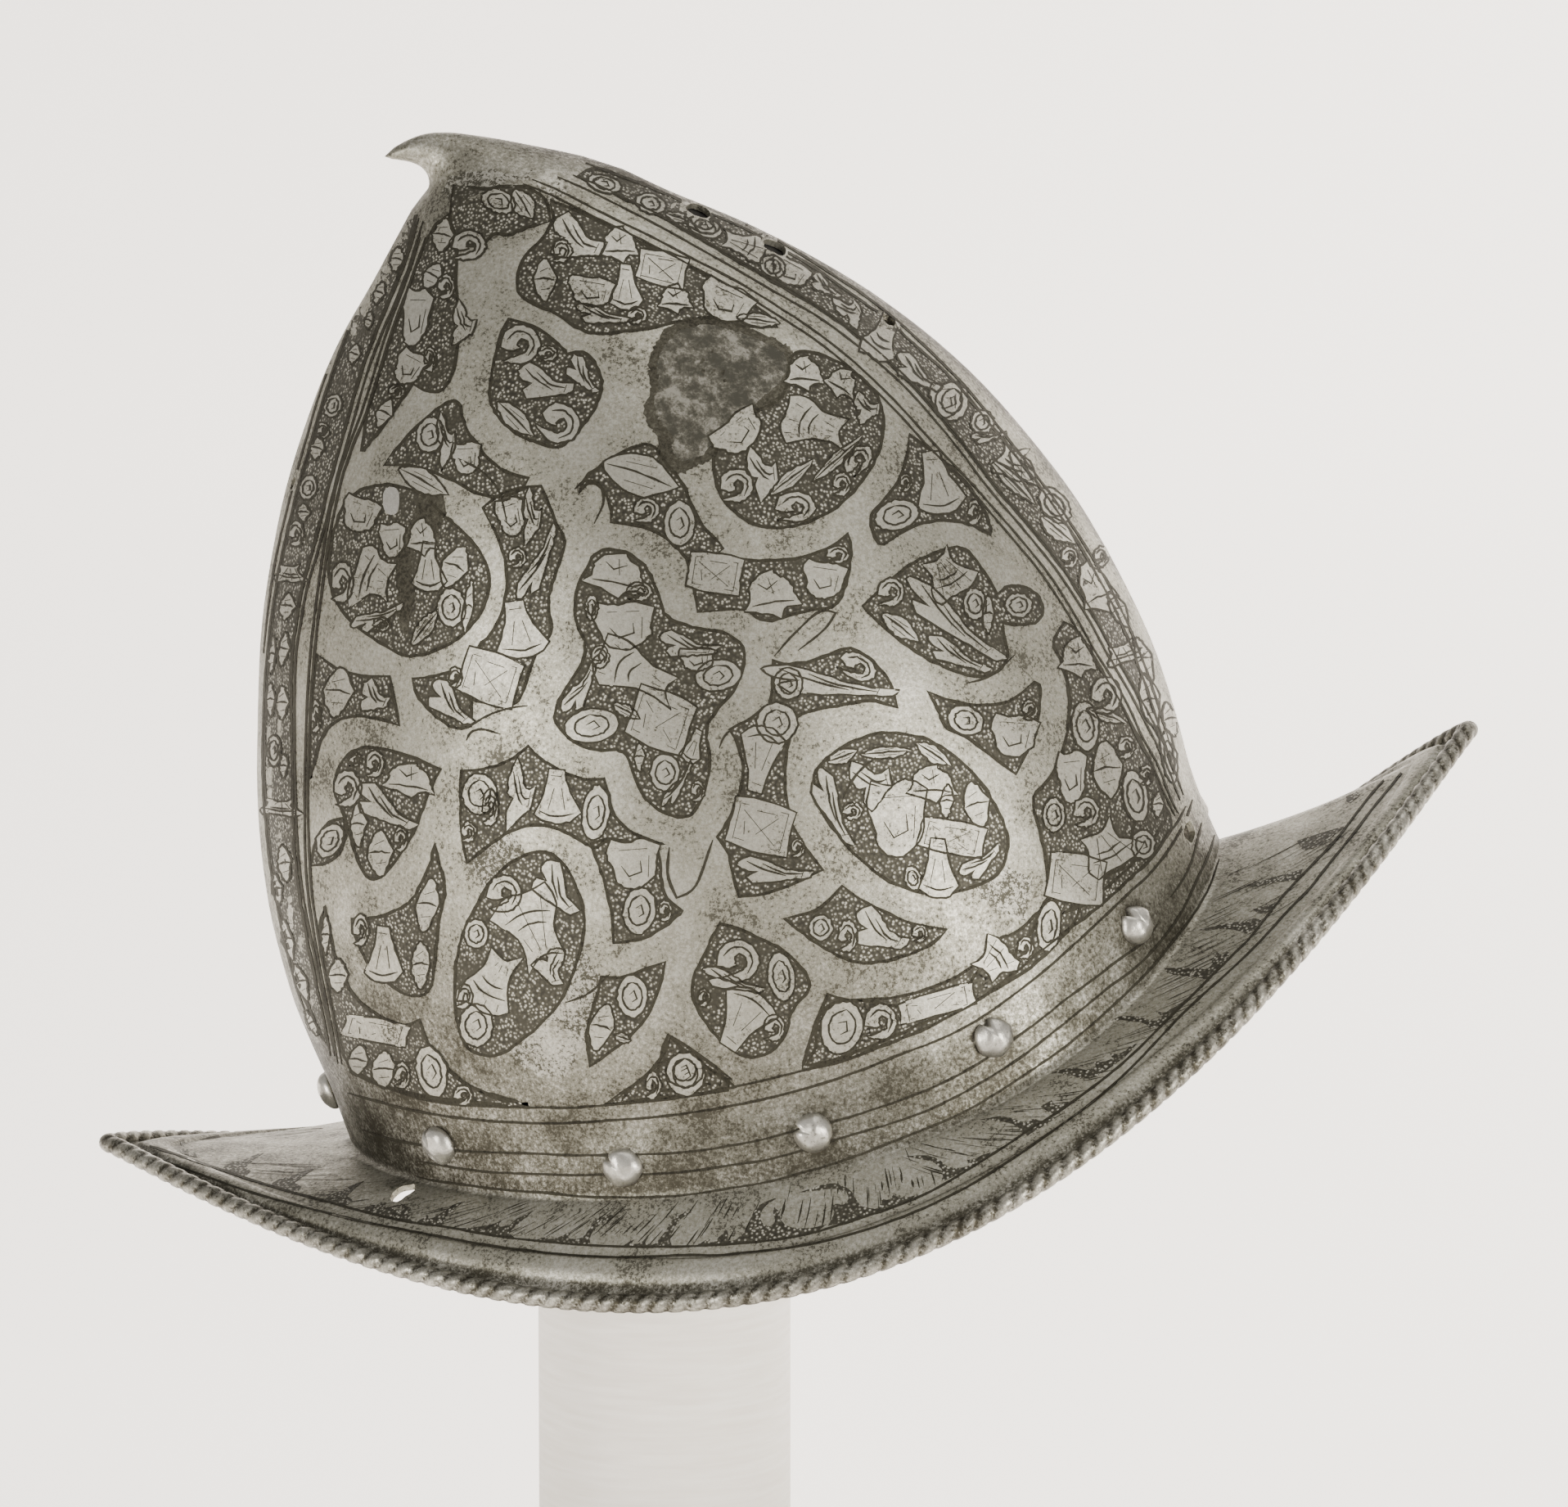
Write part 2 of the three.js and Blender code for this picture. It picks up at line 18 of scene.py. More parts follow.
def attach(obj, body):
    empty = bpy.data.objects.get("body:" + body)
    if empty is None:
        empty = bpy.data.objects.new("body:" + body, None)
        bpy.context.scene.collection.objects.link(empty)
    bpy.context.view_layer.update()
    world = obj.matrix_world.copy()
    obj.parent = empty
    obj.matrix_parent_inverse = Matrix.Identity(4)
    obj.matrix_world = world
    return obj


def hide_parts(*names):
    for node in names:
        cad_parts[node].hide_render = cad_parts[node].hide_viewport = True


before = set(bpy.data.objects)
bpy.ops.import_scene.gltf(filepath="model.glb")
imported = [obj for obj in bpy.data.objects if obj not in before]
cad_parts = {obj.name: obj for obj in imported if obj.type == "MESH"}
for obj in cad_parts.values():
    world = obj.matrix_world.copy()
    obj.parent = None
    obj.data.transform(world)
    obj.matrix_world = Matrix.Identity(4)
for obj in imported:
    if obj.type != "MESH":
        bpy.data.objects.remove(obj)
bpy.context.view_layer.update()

# The helmet's main sizes, as the CAD part has them
SKULL_FRONT = 110.6
SKULL_REAR = 116.3
SKULL_HALF_WIDTH = 92.6
CROWN_HEIGHT = 197
BASE_DROOP = 19.5
STALK_RISE = 17.2
STALK_REACH = 33.4
STALK_HALF_WIDTH = 16.5
WALL = 1.5
ROPE_RADIUS = 2.2
STRAND_PITCH = 4.7
FLUTE_DEPTH = 0.4
BAND_WIDTH = 11.6
BAND_RISE = 1.2
TILT = math.radians(-17)
HELMET_PLACE = Vector((26.8, 0, 185))
POST_RADIUS = 31
FOOT_RADIUS = 95
FOOT_HEIGHT = 14

COLUMNS = 256
RIGHT = -1

# Sections of the skull from its base line up. Columns: height in front and
# behind, reach in front and behind, half width, roundness, droop of the sides.
SKULL = [
    (0, -0.008, 1, 0.981, 0.983, 0.56, 1),
    (0.061, 0.061, 0.994, 0.993, 0.996, 0.57, 0.8),
    (0.127, 0.127, 0.996, 1, 1, 0.59, 0.62),
    (0.228, 0.228, 0.991, 0.989, 0.988, 0.62, 0.38),
    (0.345, 0.345, 0.960, 0.950, 0.950, 0.66, 0.18),
    (0.467, 0.467, 0.898, 0.887, 0.880, 0.70, 0.06),
    (0.589, 0.589, 0.804, 0.809, 0.782, 0.73, 0),
    (0.701, 0.701, 0.683, 0.709, 0.663, 0.75, 0),
    (0.797, 0.797, 0.538, 0.599, 0.532, 0.77, 0),
    (0.873, 0.873, 0.400, 0.492, 0.412, 0.78, 0),
    (0.934, 0.934, 0.268, 0.385, 0.305, 0.78, 0),
    (0.975, 0.975, 0.187, 0.315, 0.225, 0.76, 0),
]

# Sections of the stalk. Columns: how far back and up its top line is, how far
# back and up its under line is, half width, roundness.
STALK = [
    (-0.374, 0.058, 0.928, 0.035, 1, 0.72),
    (-0.216, 0.233, 0.835, 0.163, 0.788, 0.68),
    (0, 0.453, 0.760, 0.267, 0.594, 0.62),
    (0.165, 0.616, 0.740, 0.395, 0.448, 0.56),
    (0.329, 0.767, 0.749, 0.5, 0.333, 0.5),
    (0.494, 0.907, 0.778, 0.593, 0.255, 0.5),
    (0.659, 0.994, 0.835, 0.680, 0.206, 0.5),
    (0.793, 0.988, 0.898, 0.744, 0.164, 0.5),
    (0.913, 0.942, 0.952, 0.791, 0.103, 0.5),
]
STALK_POINT = Vector((-STALK_REACH, 0, CROWN_HEIGHT + 0.86 * STALK_RISE))

# The raised band along the brim. Columns: share of its width, share of its rise.
BAND = [
    (0, 0), (0.05, 0.1), (0.09, 0.6), (0.16, 0.85), (0.25, 0.97), (0.34, 1),
    (0.43, 0.93), (0.51, 0.72), (0.56, 0.2), (0.6, -0.12), (0.72, -0.16), (0.8, 0), (0.9, 0.1),
]

# The rivets round the neck. Columns: angle from the front, level down the neck.
RIVETS = {
    "lining_rivet_01": (180, 0.15),
    "lining_rivet_02": (140, 0.27),
    "lining_rivet_03": (113, 0.52),
    "lining_rivet_04": (89, 0.50),
    "lining_rivet_05": (64, 0.27),
    "lining_rivet_06": (38, 0.20),
    "lining_rivet_07": (-140, 0.27),
    "lining_rivet_08": (-113, 0.52),
    "lining_rivet_09": (-89, 0.50),
    "lining_rivet_10": (-64, 0.27),
    "lining_rivet_11": (-38, 0.20),
    "lining_rivet_12": (-15, 0.12),
}
LOST_RIVET = (15, 0.12)

# The photograph's frame and how it looks at the helmet
PHOTO_WIDTH = 1916
PHOTO_HEIGHT = 1841
FOCAL_PIXELS = 13000
CAMERA_DISTANCE = 2600
CAMERA_RISE = math.radians(11)
HELMET_PIXEL = (945, 1150)
SENSOR = 36


def mix(first, second, share):
    return first + (second - first) * share


# From the helmet's frame in millimetres to the world in metres, and back
PLACE = Matrix.Scale(0.001, 4) @ Matrix.Translation(HELMET_PLACE) @ Matrix.Rotation(TILT, 4, "Y")
WORLD_TO_HELMET = PLACE.inverted() @ Matrix.Scale(0.001, 4)

look_back = Vector((0, -math.cos(CAMERA_RISE), math.sin(CAMERA_RISE)))
look_up = Vector((0, math.sin(CAMERA_RISE), math.cos(CAMERA_RISE)))
camera_spot = HELMET_PLACE + look_back * CAMERA_DISTANCE
pixel_size = CAMERA_DISTANCE / FOCAL_PIXELS
aim = (
    HELMET_PLACE
    + Vector((1, 0, 0)) * (PHOTO_WIDTH / 2 - HELMET_PIXEL[0]) * pixel_size
    + look_up * (HELMET_PIXEL[1] - PHOTO_HEIGHT / 2) * pixel_size
)
view_ahead = (aim - camera_spot).normalized()
view_right = view_ahead.cross(Vector((0, 0, 1))).normalized()
view_up = view_right.cross(view_ahead)


# The helmet's surfaces

def plan_point(angle, front, rear, front_up, rear_up, half, roundness,
               droop=0, lean=0, spread=1, fullness=2.2):
    """A point of a closed line round the helmet, seen in plan as a long oval.
    The angle runs from the front round the right side."""
    along = math.cos(angle)
    side = RIGHT if math.sin(angle) >= 0 else -RIGHT
    out = max(0, 1 - abs(along) ** fullness) ** roundness
    hang = math.sin(angle + lean * math.sin(angle)) ** 2
    share = (1 + along) / 2
    return Vector((
        mix(-rear, front, share),
        side * half * out,
        mix(rear_up, front_up, share) - droop * hang ** spread,
    ))


def smooth_row(table, level):
    """One row between the rows of a table, on a smooth curve through them."""
    low = min(max(int(level), 0), len(table) - 2)
    t = level - low
    rows = [table[min(max(low + step, 0), len(table) - 1)] for step in (-1, 0, 1, 2)]
    result = []
    for before, start, end, after in zip(*rows):
        bend = (2 * before - 5 * start + 4 * end - after) * t * t
        twist = (3 * (start - end) + after - before) * t ** 3
        result.append(0.5 * (2 * start + (end - before) * t + bend + twist))
    return result


def skull_point(angle, level):
    front_up, rear_up, front, rear, half, roundness, droop = smooth_row(SKULL, level)
    return plan_point(
        angle, front * SKULL_FRONT, rear * SKULL_REAR, front_up * CROWN_HEIGHT,
        rear_up * CROWN_HEIGHT, half * SKULL_HALF_WIDTH, roundness, droop * BASE_DROOP, 0.04,
    )


def stalk_point(angle, level):
    top_back, top_rise, under_back, under_rise, half, roundness = smooth_row(STALK, level)
    return plan_point(
        angle, -top_back * STALK_REACH, under_back * STALK_REACH,
        CROWN_HEIGHT + top_rise * STALK_RISE, CROWN_HEIGHT + under_rise * STALK_RISE,
        half * STALK_HALF_WIDTH, roundness,
    )


def neck_line(angle):
    """The crease between the neck and the brim."""
    return plan_point(
        angle, front=111.5, rear=113.4, front_up=-8, rear_up=-16.6, half=92.5,
        roundness=0.58, droop=27.8, lean=0.21, spread=0.88,
    )


def rim_line(angle):
    """The middle of the rim's rope."""
    return plan_point(
        angle, front=177.2, rear=170.6, front_up=0.6, rear_up=-0.4, half=115,
        roundness=0.95, droop=59.5, lean=-0.03, spread=1.12, fullness=2,
    )


def neck_point(angle, level):
    return mix(skull_point(angle, 0), neck_line(angle), level)


DIP_FRONT = 2.3
DIP_REAR = 1.45
BAND_STRETCH = 0.4


def brim_point(angle, share):
    """From the neck's crease out to the rim, hollowed toward the two tips."""
    neck = neck_line(angle)
    rim = rim_line(angle)
    dip = mix(DIP_FRONT if math.cos(angle) > 0 else DIP_REAR, 1, math.sin(angle) ** 2)
    point = mix(neck, rim, share)
    point.z = mix(neck.z, rim.z, max(share, 0) ** dip)
    return point


def band_start(angle):
    stretch = 1 + BAND_STRETCH * math.cos(angle) ** 2
    return 1 - BAND_WIDTH * stretch / (neck_line(angle) - rim_line(angle)).length


def band_point(angle, share, rise):
    point = brim_point(angle, mix(band_start(angle), 1, share))
    point.z += rise * BAND_RISE
    return point


# Each row of the plate is a function of the angle round the helmet. The rows
# run from the rim up to the stalk's point.
BAND_ROWS = [lambda a, s=share, r=rise: band_point(a, s, r) for share, rise in reversed(BAND)]
LEAF_STEPS = 16
LEAF_ROWS = [
    lambda a, s=1 - step / LEAF_STEPS: brim_point(a, s * band_start(a))
    for step in range(1, LEAF_STEPS + 1)
]
NECK_STEPS = 8
NECK_ROWS = [lambda a, s=1 - step / NECK_STEPS: neck_point(a, s) for step in range(1, NECK_STEPS)]
SKULL_STEPS = 5
SKULL_ROWS = [
    lambda a, s=step / SKULL_STEPS: skull_point(a, s)
    for step in range((len(SKULL) - 1) * SKULL_STEPS + 1)
]
STALK_STEPS = 3
STALK_ROWS = [
    lambda a, s=step / STALK_STEPS: stalk_point(a, s)
    for step in range((len(STALK) - 1) * STALK_STEPS + 1)
]
POINT_ROW = [lambda a: STALK_POINT.copy()]
OUTER_ROWS = BAND_ROWS + LEAF_ROWS + NECK_ROWS + SKULL_ROWS + STALK_ROWS + POINT_ROW


BROAD_WAVE = 26
BROAD_HEIGHT = 0.35
SMALL_WAVE = 9
SMALL_HEIGHT = 0.07


def hammered(point, normal):
    """The smith's plate is never quite even: broad waves with small ones on them."""
    broad = noise.noise(point / BROAD_WAVE) * BROAD_HEIGHT
    small = noise.noise(point / SMALL_WAVE) * SMALL_HEIGHT
    return point + normal * (broad + small)


def grid_of(rows, columns):
    """A bmesh grid whose columns run round and whose rows are the functions."""
    mesh = bmesh.new()
    bmesh.ops.create_grid(mesh, x_segments=columns, y_segments=len(rows) - 1, size=1)
    for vert in mesh.verts:
        angle = (vert.co.x + 1) * math.pi
        row = round((vert.co.y + 1) / 2 * (len(rows) - 1))
        vert.co = rows[row](angle)
    return mesh


def join_mesh(mesh, extra):
    """Adds one bmesh to another and frees it."""
    data = bpy.data.meshes.new("joined")
    extra.to_mesh(data)
    extra.free()
    mesh.from_mesh(data)
    bpy.data.meshes.remove(data)


def make_piece(name, mesh, node, material, smooth=True, placed=False):
    """A finished piece in the world that stands for a CAD node."""
    if not placed:
        mesh.transform(PLACE)
    data = bpy.data.meshes.new(name)
    mesh.to_mesh(data)
    mesh.free()
    data.materials.append(material)
    for face in data.polygons:
        face.use_smooth = smooth
    piece = bpy.data.objects.new(name, data)
    bpy.context.scene.collection.objects.link(piece)
    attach(piece, "root")
    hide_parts(node)
    return piece


# Materials

def linear(code):
    """An sRGB hex colour as the linear one that Blender wants."""
    parts = [int(code[start:start + 2], 16) / 255 for start in (1, 3, 5)]
    return [c / 12.92 if c <= 0.04045 else ((c + 0.055) / 1.055) ** 2.4 for c in parts] + [1]


def new_material(name):
    material = bpy.data.materials.new(name)
    material.use_nodes = True
    tree = material.node_tree
    return material, tree, tree.nodes["Principled BSDF"]


def add_node(tree, kind, settings=None, links=None):
    """Adds a node. Links go from an output socket to one of its inputs."""
    node = tree.nodes.new(kind)
    for key, value in (settings or {}).items():
        if isinstance(key, int) or key in node.inputs:
            node.inputs[key].default_value = value
        else:
            setattr(node, key, value)
    for key, socket in (links or {}).items():
        tree.links.new(socket, node.inputs[key])
    return node


def per_metre(millimetres):
    """Noise scale for features of this size."""
    return 1000 / millimetres


def ramp_between(tree, source, stops):
    """A colour ramp with hex colours at its stops."""
    node = add_node(tree, "ShaderNodeValToRGB", links={"Fac": source})
    ramp = node.color_ramp
    while len(ramp.elements) < len(stops):
        ramp.elements.new(0.5)
    for element, (position, code) in zip(ramp.elements, stops):
        element.position = position
        element.color = linear(code)
    return node


def map_range(tree, source, start, end, to_start=0.0, to_end=1.0):
    """A socket's value moved from one range into another."""
    node = add_node(tree, "ShaderNodeMapRange", {"From Min": start, "From Max": end,
                                                 "To Min": to_start, "To Max": to_end},
                    {"Value": source})
    return node.outputs[0]


def multiply(tree, first, second, clamped=False):
    node = add_node(tree, "ShaderNodeMath", {"operation": "MULTIPLY", "use_clamp": clamped},
                    {0: first, 1: second})
    return node.outputs[0]


def add_bump(tree, shader, height, strength, distance, sunk=False):
    bump = add_node(tree, "ShaderNodeBump", {"Strength": strength, "Distance": distance},
                    {"Height": height})
    bump.invert = sunk
    tree.links.new(bump.outputs[0], shader.inputs["Normal"])


def steel(name, light, mid, dark, roughness, pits_at=0.0):
    """Old forged steel, once burnished and now grey. Fine dark pits lie in soft
    clouds. A patchy darkening lies in the low places: dirt and rust, and also
    painted shade at the lower rear and in the rope's grooves. The sheen is broken
    and soft. A higher pits_at leaves fewer pits."""
    material, tree, shader = new_material(name)
    where = add_node(tree, "ShaderNodeTexCoord").outputs["Object"]
    clouds = add_node(tree, "ShaderNodeTexNoise", {"Scale": per_metre(17), "Detail": 4.0,
                                                   "Roughness": 0.7}, {"Vector": where})
    pits = add_node(tree, "ShaderNodeTexNoise", {"Scale": per_metre(0.9), "Detail": 4.0,
                                                 "Roughness": 0.8}, {"Vector": where})
    both = add_node(tree, "ShaderNodeMix", {"data_type": "FLOAT", 0: 0.6},
                    {2: clouds.outputs["Fac"], 3: pits.outputs["Fac"]})
    tone = ramp_between(tree, both.outputs[0], [
        (0.4, light), (0.49 + pits_at, mid), (0.535 + pits_at, mid), (0.565 + pits_at, dark)])
    # The soil attribute darkens toward dark brown: rust and dirt, and painted shade at the lower rear and in
    # the rope's grooves
    soil_and_shade = add_node(tree, "ShaderNodeAttribute", {"attribute_name": "soil_and_shade"})
    grime_and_shade_mask = map_range(tree, both.outputs[0], 0.34, 0.52)
    depth = multiply(tree, soil_and_shade.outputs["Fac"], grime_and_shade_mask, clamped=True)
    soiled_and_shaded = add_node(tree, "ShaderNodeMix", {"data_type": "RGBA", 7: linear("#39362c")},
                      {0: depth, 6: tone.outputs["Color"]})
    tree.links.new(soiled_and_shaded.outputs[2], shader.inputs["Base Color"])
    gloss = map_range(tree, both.outputs[0], 0.35, 0.65, roughness - 0.06, roughness + 0.14)
    tree.links.new(gloss, shader.inputs["Roughness"])
    add_bump(tree, shader, pits.outputs["Fac"], 0.4, 0.0002, sunk=True)
    shader.inputs["Metallic"].default_value = 0.85
    return material


def etched_ground():
    """Steel bitten by acid and blackened, with pearls left standing a little less
    than a millimetre apart, which time has rubbed bright or filled with dirt."""
    material, tree, shader = new_material("etched and blackened ground")
    where = add_node(tree, "ShaderNodeTexCoord").outputs["Object"]
    pearls = add_node(tree, "ShaderNodeTexVoronoi", {"Scale": per_metre(0.85)}, {"Vector": where})
    clouds = add_node(tree, "ShaderNodeTexNoise", {"Scale": per_metre(9), "Detail": 4.0},
                      {"Vector": where})
    dots = ramp_between(tree, pearls.outputs["Distance"], [
        (0.24, "#a9a79d"), (0.4, "#4b493f"), (0.8, "#33312a")])
    worn = ramp_between(tree, clouds.outputs["Fac"], [(0.5, "#000000"), (0.7, "#ffffff")])
    field = add_node(tree, "ShaderNodeMix", {"data_type": "RGBA", 7: linear("#3e3c33")},
                     {0: worn.outputs["Color"], 6: dots.outputs["Color"]})
    tree.links.new(field.outputs[2], shader.inputs["Base Color"])
    add_bump(tree, shader, pearls.outputs["Distance"], 0.5, 0.0002, sunk=True)
    shader.inputs["Metallic"].default_value = 0.7
    shader.inputs["Roughness"].default_value = 0.55
    return material


def corroded_steel():
    """Bare plate where rust has eaten the etching and was scoured off: dark and
    rough, with paler islands a few millimetres wide."""
    material, tree, shader = new_material("corroded and scoured steel")
    where = add_node(tree, "ShaderNodeTexCoord").outputs["Object"]
    islands = add_node(tree, "ShaderNodeTexNoise", {"Scale": per_metre(5), "Detail": 9.0,
                                                    "Roughness": 0.8}, {"Vector": where})
    tone = ramp_between(tree, islands.outputs["Fac"], [
        (0.45, "#3b3a32"), (0.52, "#55534a"), (0.6, "#86847b")])
    tree.links.new(tone.outputs["Color"], shader.inputs["Base Color"])
    add_bump(tree, shader, islands.outputs["Fac"], 0.6, 0.0003)
    shader.inputs["Metallic"].default_value = 0.6
    shader.inputs["Roughness"].default_value = 0.6
    return material


plate_steel = steel("forged plate steel", "#b4b2a8", "#989689", "#55534a", 0.42)
pitted_steel = steel("pitted plate steel", "#b6b4aa", "#9f9d93", "#4a483f", 0.46, -0.04)
strap_steel = steel("burnished trophy steel", "#b5b3a9", "#9d9b90", "#57554b", 0.42, 0.02)
rope_steel = steel("turned rim steel", "#b4b2a8", "#96948a", "#4a483f", 0.36, 0.02)
rivet_steel = steel("hammered rivet steel", "#cccac3", "#b1afa7", "#74726a", 0.28, 0.05)
line_steel = steel("engraved line, blackened", "#403e35", "#3a382f", "#2c2a23", 0.6)
ground_steel = etched_ground()
bare_steel = corroded_steel()
dark_steel = steel("rusted steel", "#5d5b51", "#45433a", "#33312a", 0.6)


def eggshell_paint():
    """Brushed eggshell paint on turned softwood: chalky, with faint brush lines
    round the post."""
    material, tree, shader = new_material("eggshell paint on softwood")
    where = add_node(tree, "ShaderNodeTexCoord").outputs["Object"]
    brushed = add_node(tree, "ShaderNodeMapping", {"Scale": (1, 1, 12)}, {"Vector": where})
    brush = add_node(tree, "ShaderNodeTexNoise", {"Scale": per_metre(18), "Detail": 5.0},
                     {"Vector": brushed.outputs[0]})
    tone = ramp_between(tree, brush.outputs["Fac"], [(0.3, "#ece6dc"), (0.7, "#f8f4ec")])
    tree.links.new(tone.outputs["Color"], shader.inputs["Base Color"])
    add_bump(tree, shader, brush.outputs["Fac"], 0.2, 0.0002)
    shader.inputs["Roughness"].default_value = 0.62
    return material


def head_shade_paint():
    """Painted shade: flat black on the post's head inside the crown, where only shade lies, so that the holes
    in the crown show black behind them.
    """
    material, _, shader = new_material("flat black painted shade on softwood")
    shader.inputs["Base Color"].default_value = linear("#1d1b18")
    shader.inputs["Roughness"].default_value = 0.9
    return material


post_paint = eggshell_paint()
head_painted_shade = head_shade_paint()


# The plate

def build_plate():
    """The plate's outer surface, with its darkening of dirt and painted shade, facing outward."""
    outer = grid_of(OUTER_ROWS, COLUMNS)
    soil_and_shade = outer.verts.layers.float.new("soil_and_shade")
    for index, vert in enumerate(outer.verts):
        vert[soil_and_shade] = soil_and_shade_at(index // (COLUMNS + 1), vert.co)
    bmesh.ops.remove_doubles(outer, verts=outer.verts, dist=0.001)
    bmesh.ops.recalc_face_normals(outer, faces=outer.faces)
    outer.normal_update()
    outer.faces.ensure_lookup_table()
    side = max(outer.faces, key=lambda face: -face.calc_center_median().y)
    if side.normal.y > 0:
        bmesh.ops.reverse_faces(outer, faces=outer.faces)
        outer.normal_update()
    return outer


def seat_on(angle, level):
    """A place on the neck, with the direction straight out of it."""
    turn = math.radians(angle)
    step = 0.02
    point = neck_point(turn, level)
    along = neck_point(turn + step, level) - neck_point(turn - step, level)
    upward = neck_point(turn, level + step) - neck_point(turn, level - step)
    normal = along.cross(upward).normalized()
    if normal.dot(Vector((point.x, point.y, 0))) < 0:
        normal.negate()
    return point, normal


# How dark each row of the plate is made, from the rim to the point: most in the band's groove by the rope, at
# the crease and over the neck
ROW_DARKNESS = (
    [0.5, 0.8, 0.95, 0.9, 0.55, 0.3, 0.2, 0.15, 0.15, 0.2, 0.25, 0.3, 0.3]
    + [0.12] * (LEAF_STEPS - 2) + [0.3, 0.6]
    + [0.9, 0.8] + [0.72] * (NECK_STEPS - 4) + [0.6]
)
SKULL_SOIL = 0.08
DARKER_BELOW = 30
LOW_REACH = 45
CROWN_SOIL = 0.45
REAR_START = 40
REAR_REACH = 70
REAR_PAINTED_SHADE = 0.7
RIM_MIDDLE = 12
RIDGE_REACH = 8
RIDGE_SOIL = 1.4
STAIN_REACH = 10.5
STAIN_SOIL = 1.7
ABOVE_THE_TEAR = (150, 0.7)
STAINED = list(RIVETS.values()) + [LOST_RIVET, ABOVE_THE_TEAR]


def soil_and_shade_at(row, point):
    """How dark the plate is made, 0 to 1: dirt and rust on the crown, along the
    ridge in front and round each rivet, darker toward the foot of the skull, and
    painted shade at the rear."""
    low = 0.5 * min(1, max(0, (DARKER_BELOW - point.z) / LOW_REACH))
    base = ROW_DARKNESS[row] if row < len(ROW_DARKNESS) else SKULL_SOIL + low
    crown = min(max((point.z - CROWN_HEIGHT * 0.93) / 20, 0), CROWN_SOIL)
    # Painted shade: the rear is darkened most at the level of the rim, where less light falls
    rear = min(max((-point.x - REAR_START) / REAR_REACH, 0), REAR_PAINTED_SHADE)
    rear *= max(0, 1 - abs(point.z - RIM_MIDDLE) / LOW_REACH)
    ridge = 0
    if point.x > 0 and point.z > CROWN_HEIGHT * 0.3:
        ridge = RIDGE_SOIL * max(0, 1 - abs(point.y) / RIDGE_REACH)
    stain = 0
    for seat in STAINED_SPOTS:
        away = (point - seat).length
        stain = max(stain, STAIN_SOIL * (1 - away / STAIN_REACH))
    return min(1, max(base + rear, crown, stain, ridge))


STAINED_SPOTS = [seat_on(*seat)[0] for seat in STAINED]
outer_plate = build_plate()
for vert in outer_plate.verts:
    vert.co = hammered(vert.co, vert.normal)
plate_tree = BVHTree.FromBMesh(outer_plate)
ray_start = WORLD_TO_HELMET @ camera_spot


def on_plate(pixel_x, pixel_y, rise=0.0):
    """The place on the near side of the plate that a pixel of the photo shows."""
    away = (
        view_ahead * FOCAL_PIXELS
        + view_right * (pixel_x - PHOTO_WIDTH / 2)
        + view_up * (PHOTO_HEIGHT / 2 - pixel_y)
    )
    direction = (WORLD_TO_HELMET @ (camera_spot + away) - ray_start).normalized()
    hit, normal, _, _ = plate_tree.ray_cast(ray_start, direction)
    if hit is None:
        return None
    return hit + normal * rise


# Holes, as photo pixels, half length and half height in mm, turn in degrees
HOLES = {
    "ridge hole": (853, 257, 3.3, 3.6, 25),
    "ridge hole beside the band": (947, 302, 3.0, 3.6, 30),
    "ridge pin hole": (1086, 391, 1.8, 2.2, 20),
    "rear pin hole": (358, 590, 1.8, 1.2, 0),
    "lost rivet": (1454, 1016, 3.6, 2.5, -20),
    "tear": (492, 1456, 2.6, 4.0, 35),
}
BORE_DEPTH = 9
BORE_SIDES = 18
BORE_RAGGED = 0.28
# Ornament keeps this share of a hole's half length away from its middle
CLEAR_OF_HOLES = 0.9
HOLE_PLACES = [(on_plate(x, y), CLEAR_OF_HOLES * max(half)) for x, y, *half, _ in HOLES.values()]


def cut_holes(plate):
    """Bores ragged holes through the finished plate."""
    mesh = bmesh.new()
    for x, y, half_length, half_height, turn in HOLES.values():
        found = on_plate(x, y)
        outward = (on_plate(x, y, 1.0) - found).normalized()
        cutter = bmesh.new()
        bmesh.ops.create_cone(cutter, cap_ends=True, segments=BORE_SIDES, radius1=1, radius2=1,
                              depth=BORE_DEPTH)
        for vert in cutter.verts:
            spot = Vector((vert.co.x * 1.4 + x, vert.co.y * 1.4, 0))
            ragged = 1 + BORE_RAGGED * noise.noise(spot)
            vert.co.x *= half_length * ragged
            vert.co.y *= half_height * ragged
        face_it = Matrix.Identity(4)
        right = (view_right - outward * view_right.dot(outward)).normalized()
        upward = outward.cross(right)
        for row in range(3):
            face_it[row][0] = right[row]
            face_it[row][1] = upward[row]
            face_it[row][2] = outward[row]
            face_it[row][3] = found[row]
        cutter.transform(face_it @ Matrix.Rotation(math.radians(-turn), 4, "Z"))
        # The walls that the cutters leave in the plate are fully darkened
        soil_and_shade = cutter.verts.layers.float.new("soil_and_shade")
        for vert in cutter.verts:
            vert[soil_and_shade] = 1
        join_mesh(mesh, cutter)
    mesh.transform(PLACE)
    data = bpy.data.meshes.new("cutters")
    mesh.to_mesh(data)
    mesh.free()
    tool = bpy.data.objects.new("cutters", data)
    bpy.context.scene.collection.objects.link(tool)
    cut = plate.modifiers.new("holes", "BOOLEAN")
    cut.operation = "DIFFERENCE"
    cut.solver = "EXACT"
    cut.object = tool
    bpy.context.view_layer.update()
    shown = plate.evaluated_get(bpy.context.evaluated_depsgraph_get())
    finished = bpy.data.meshes.new_from_object(shown)
    plate.modifiers.clear()
    plate.data = finished
    bpy.data.objects.remove(tool)


INNER_TOP = CROWN_HEIGHT * 0.965
CROWN_RING = CROWN_HEIGHT * 0.8
RIDGE_TOP = CROWN_HEIGHT * 1.02
ON_RIDGE = 0.3


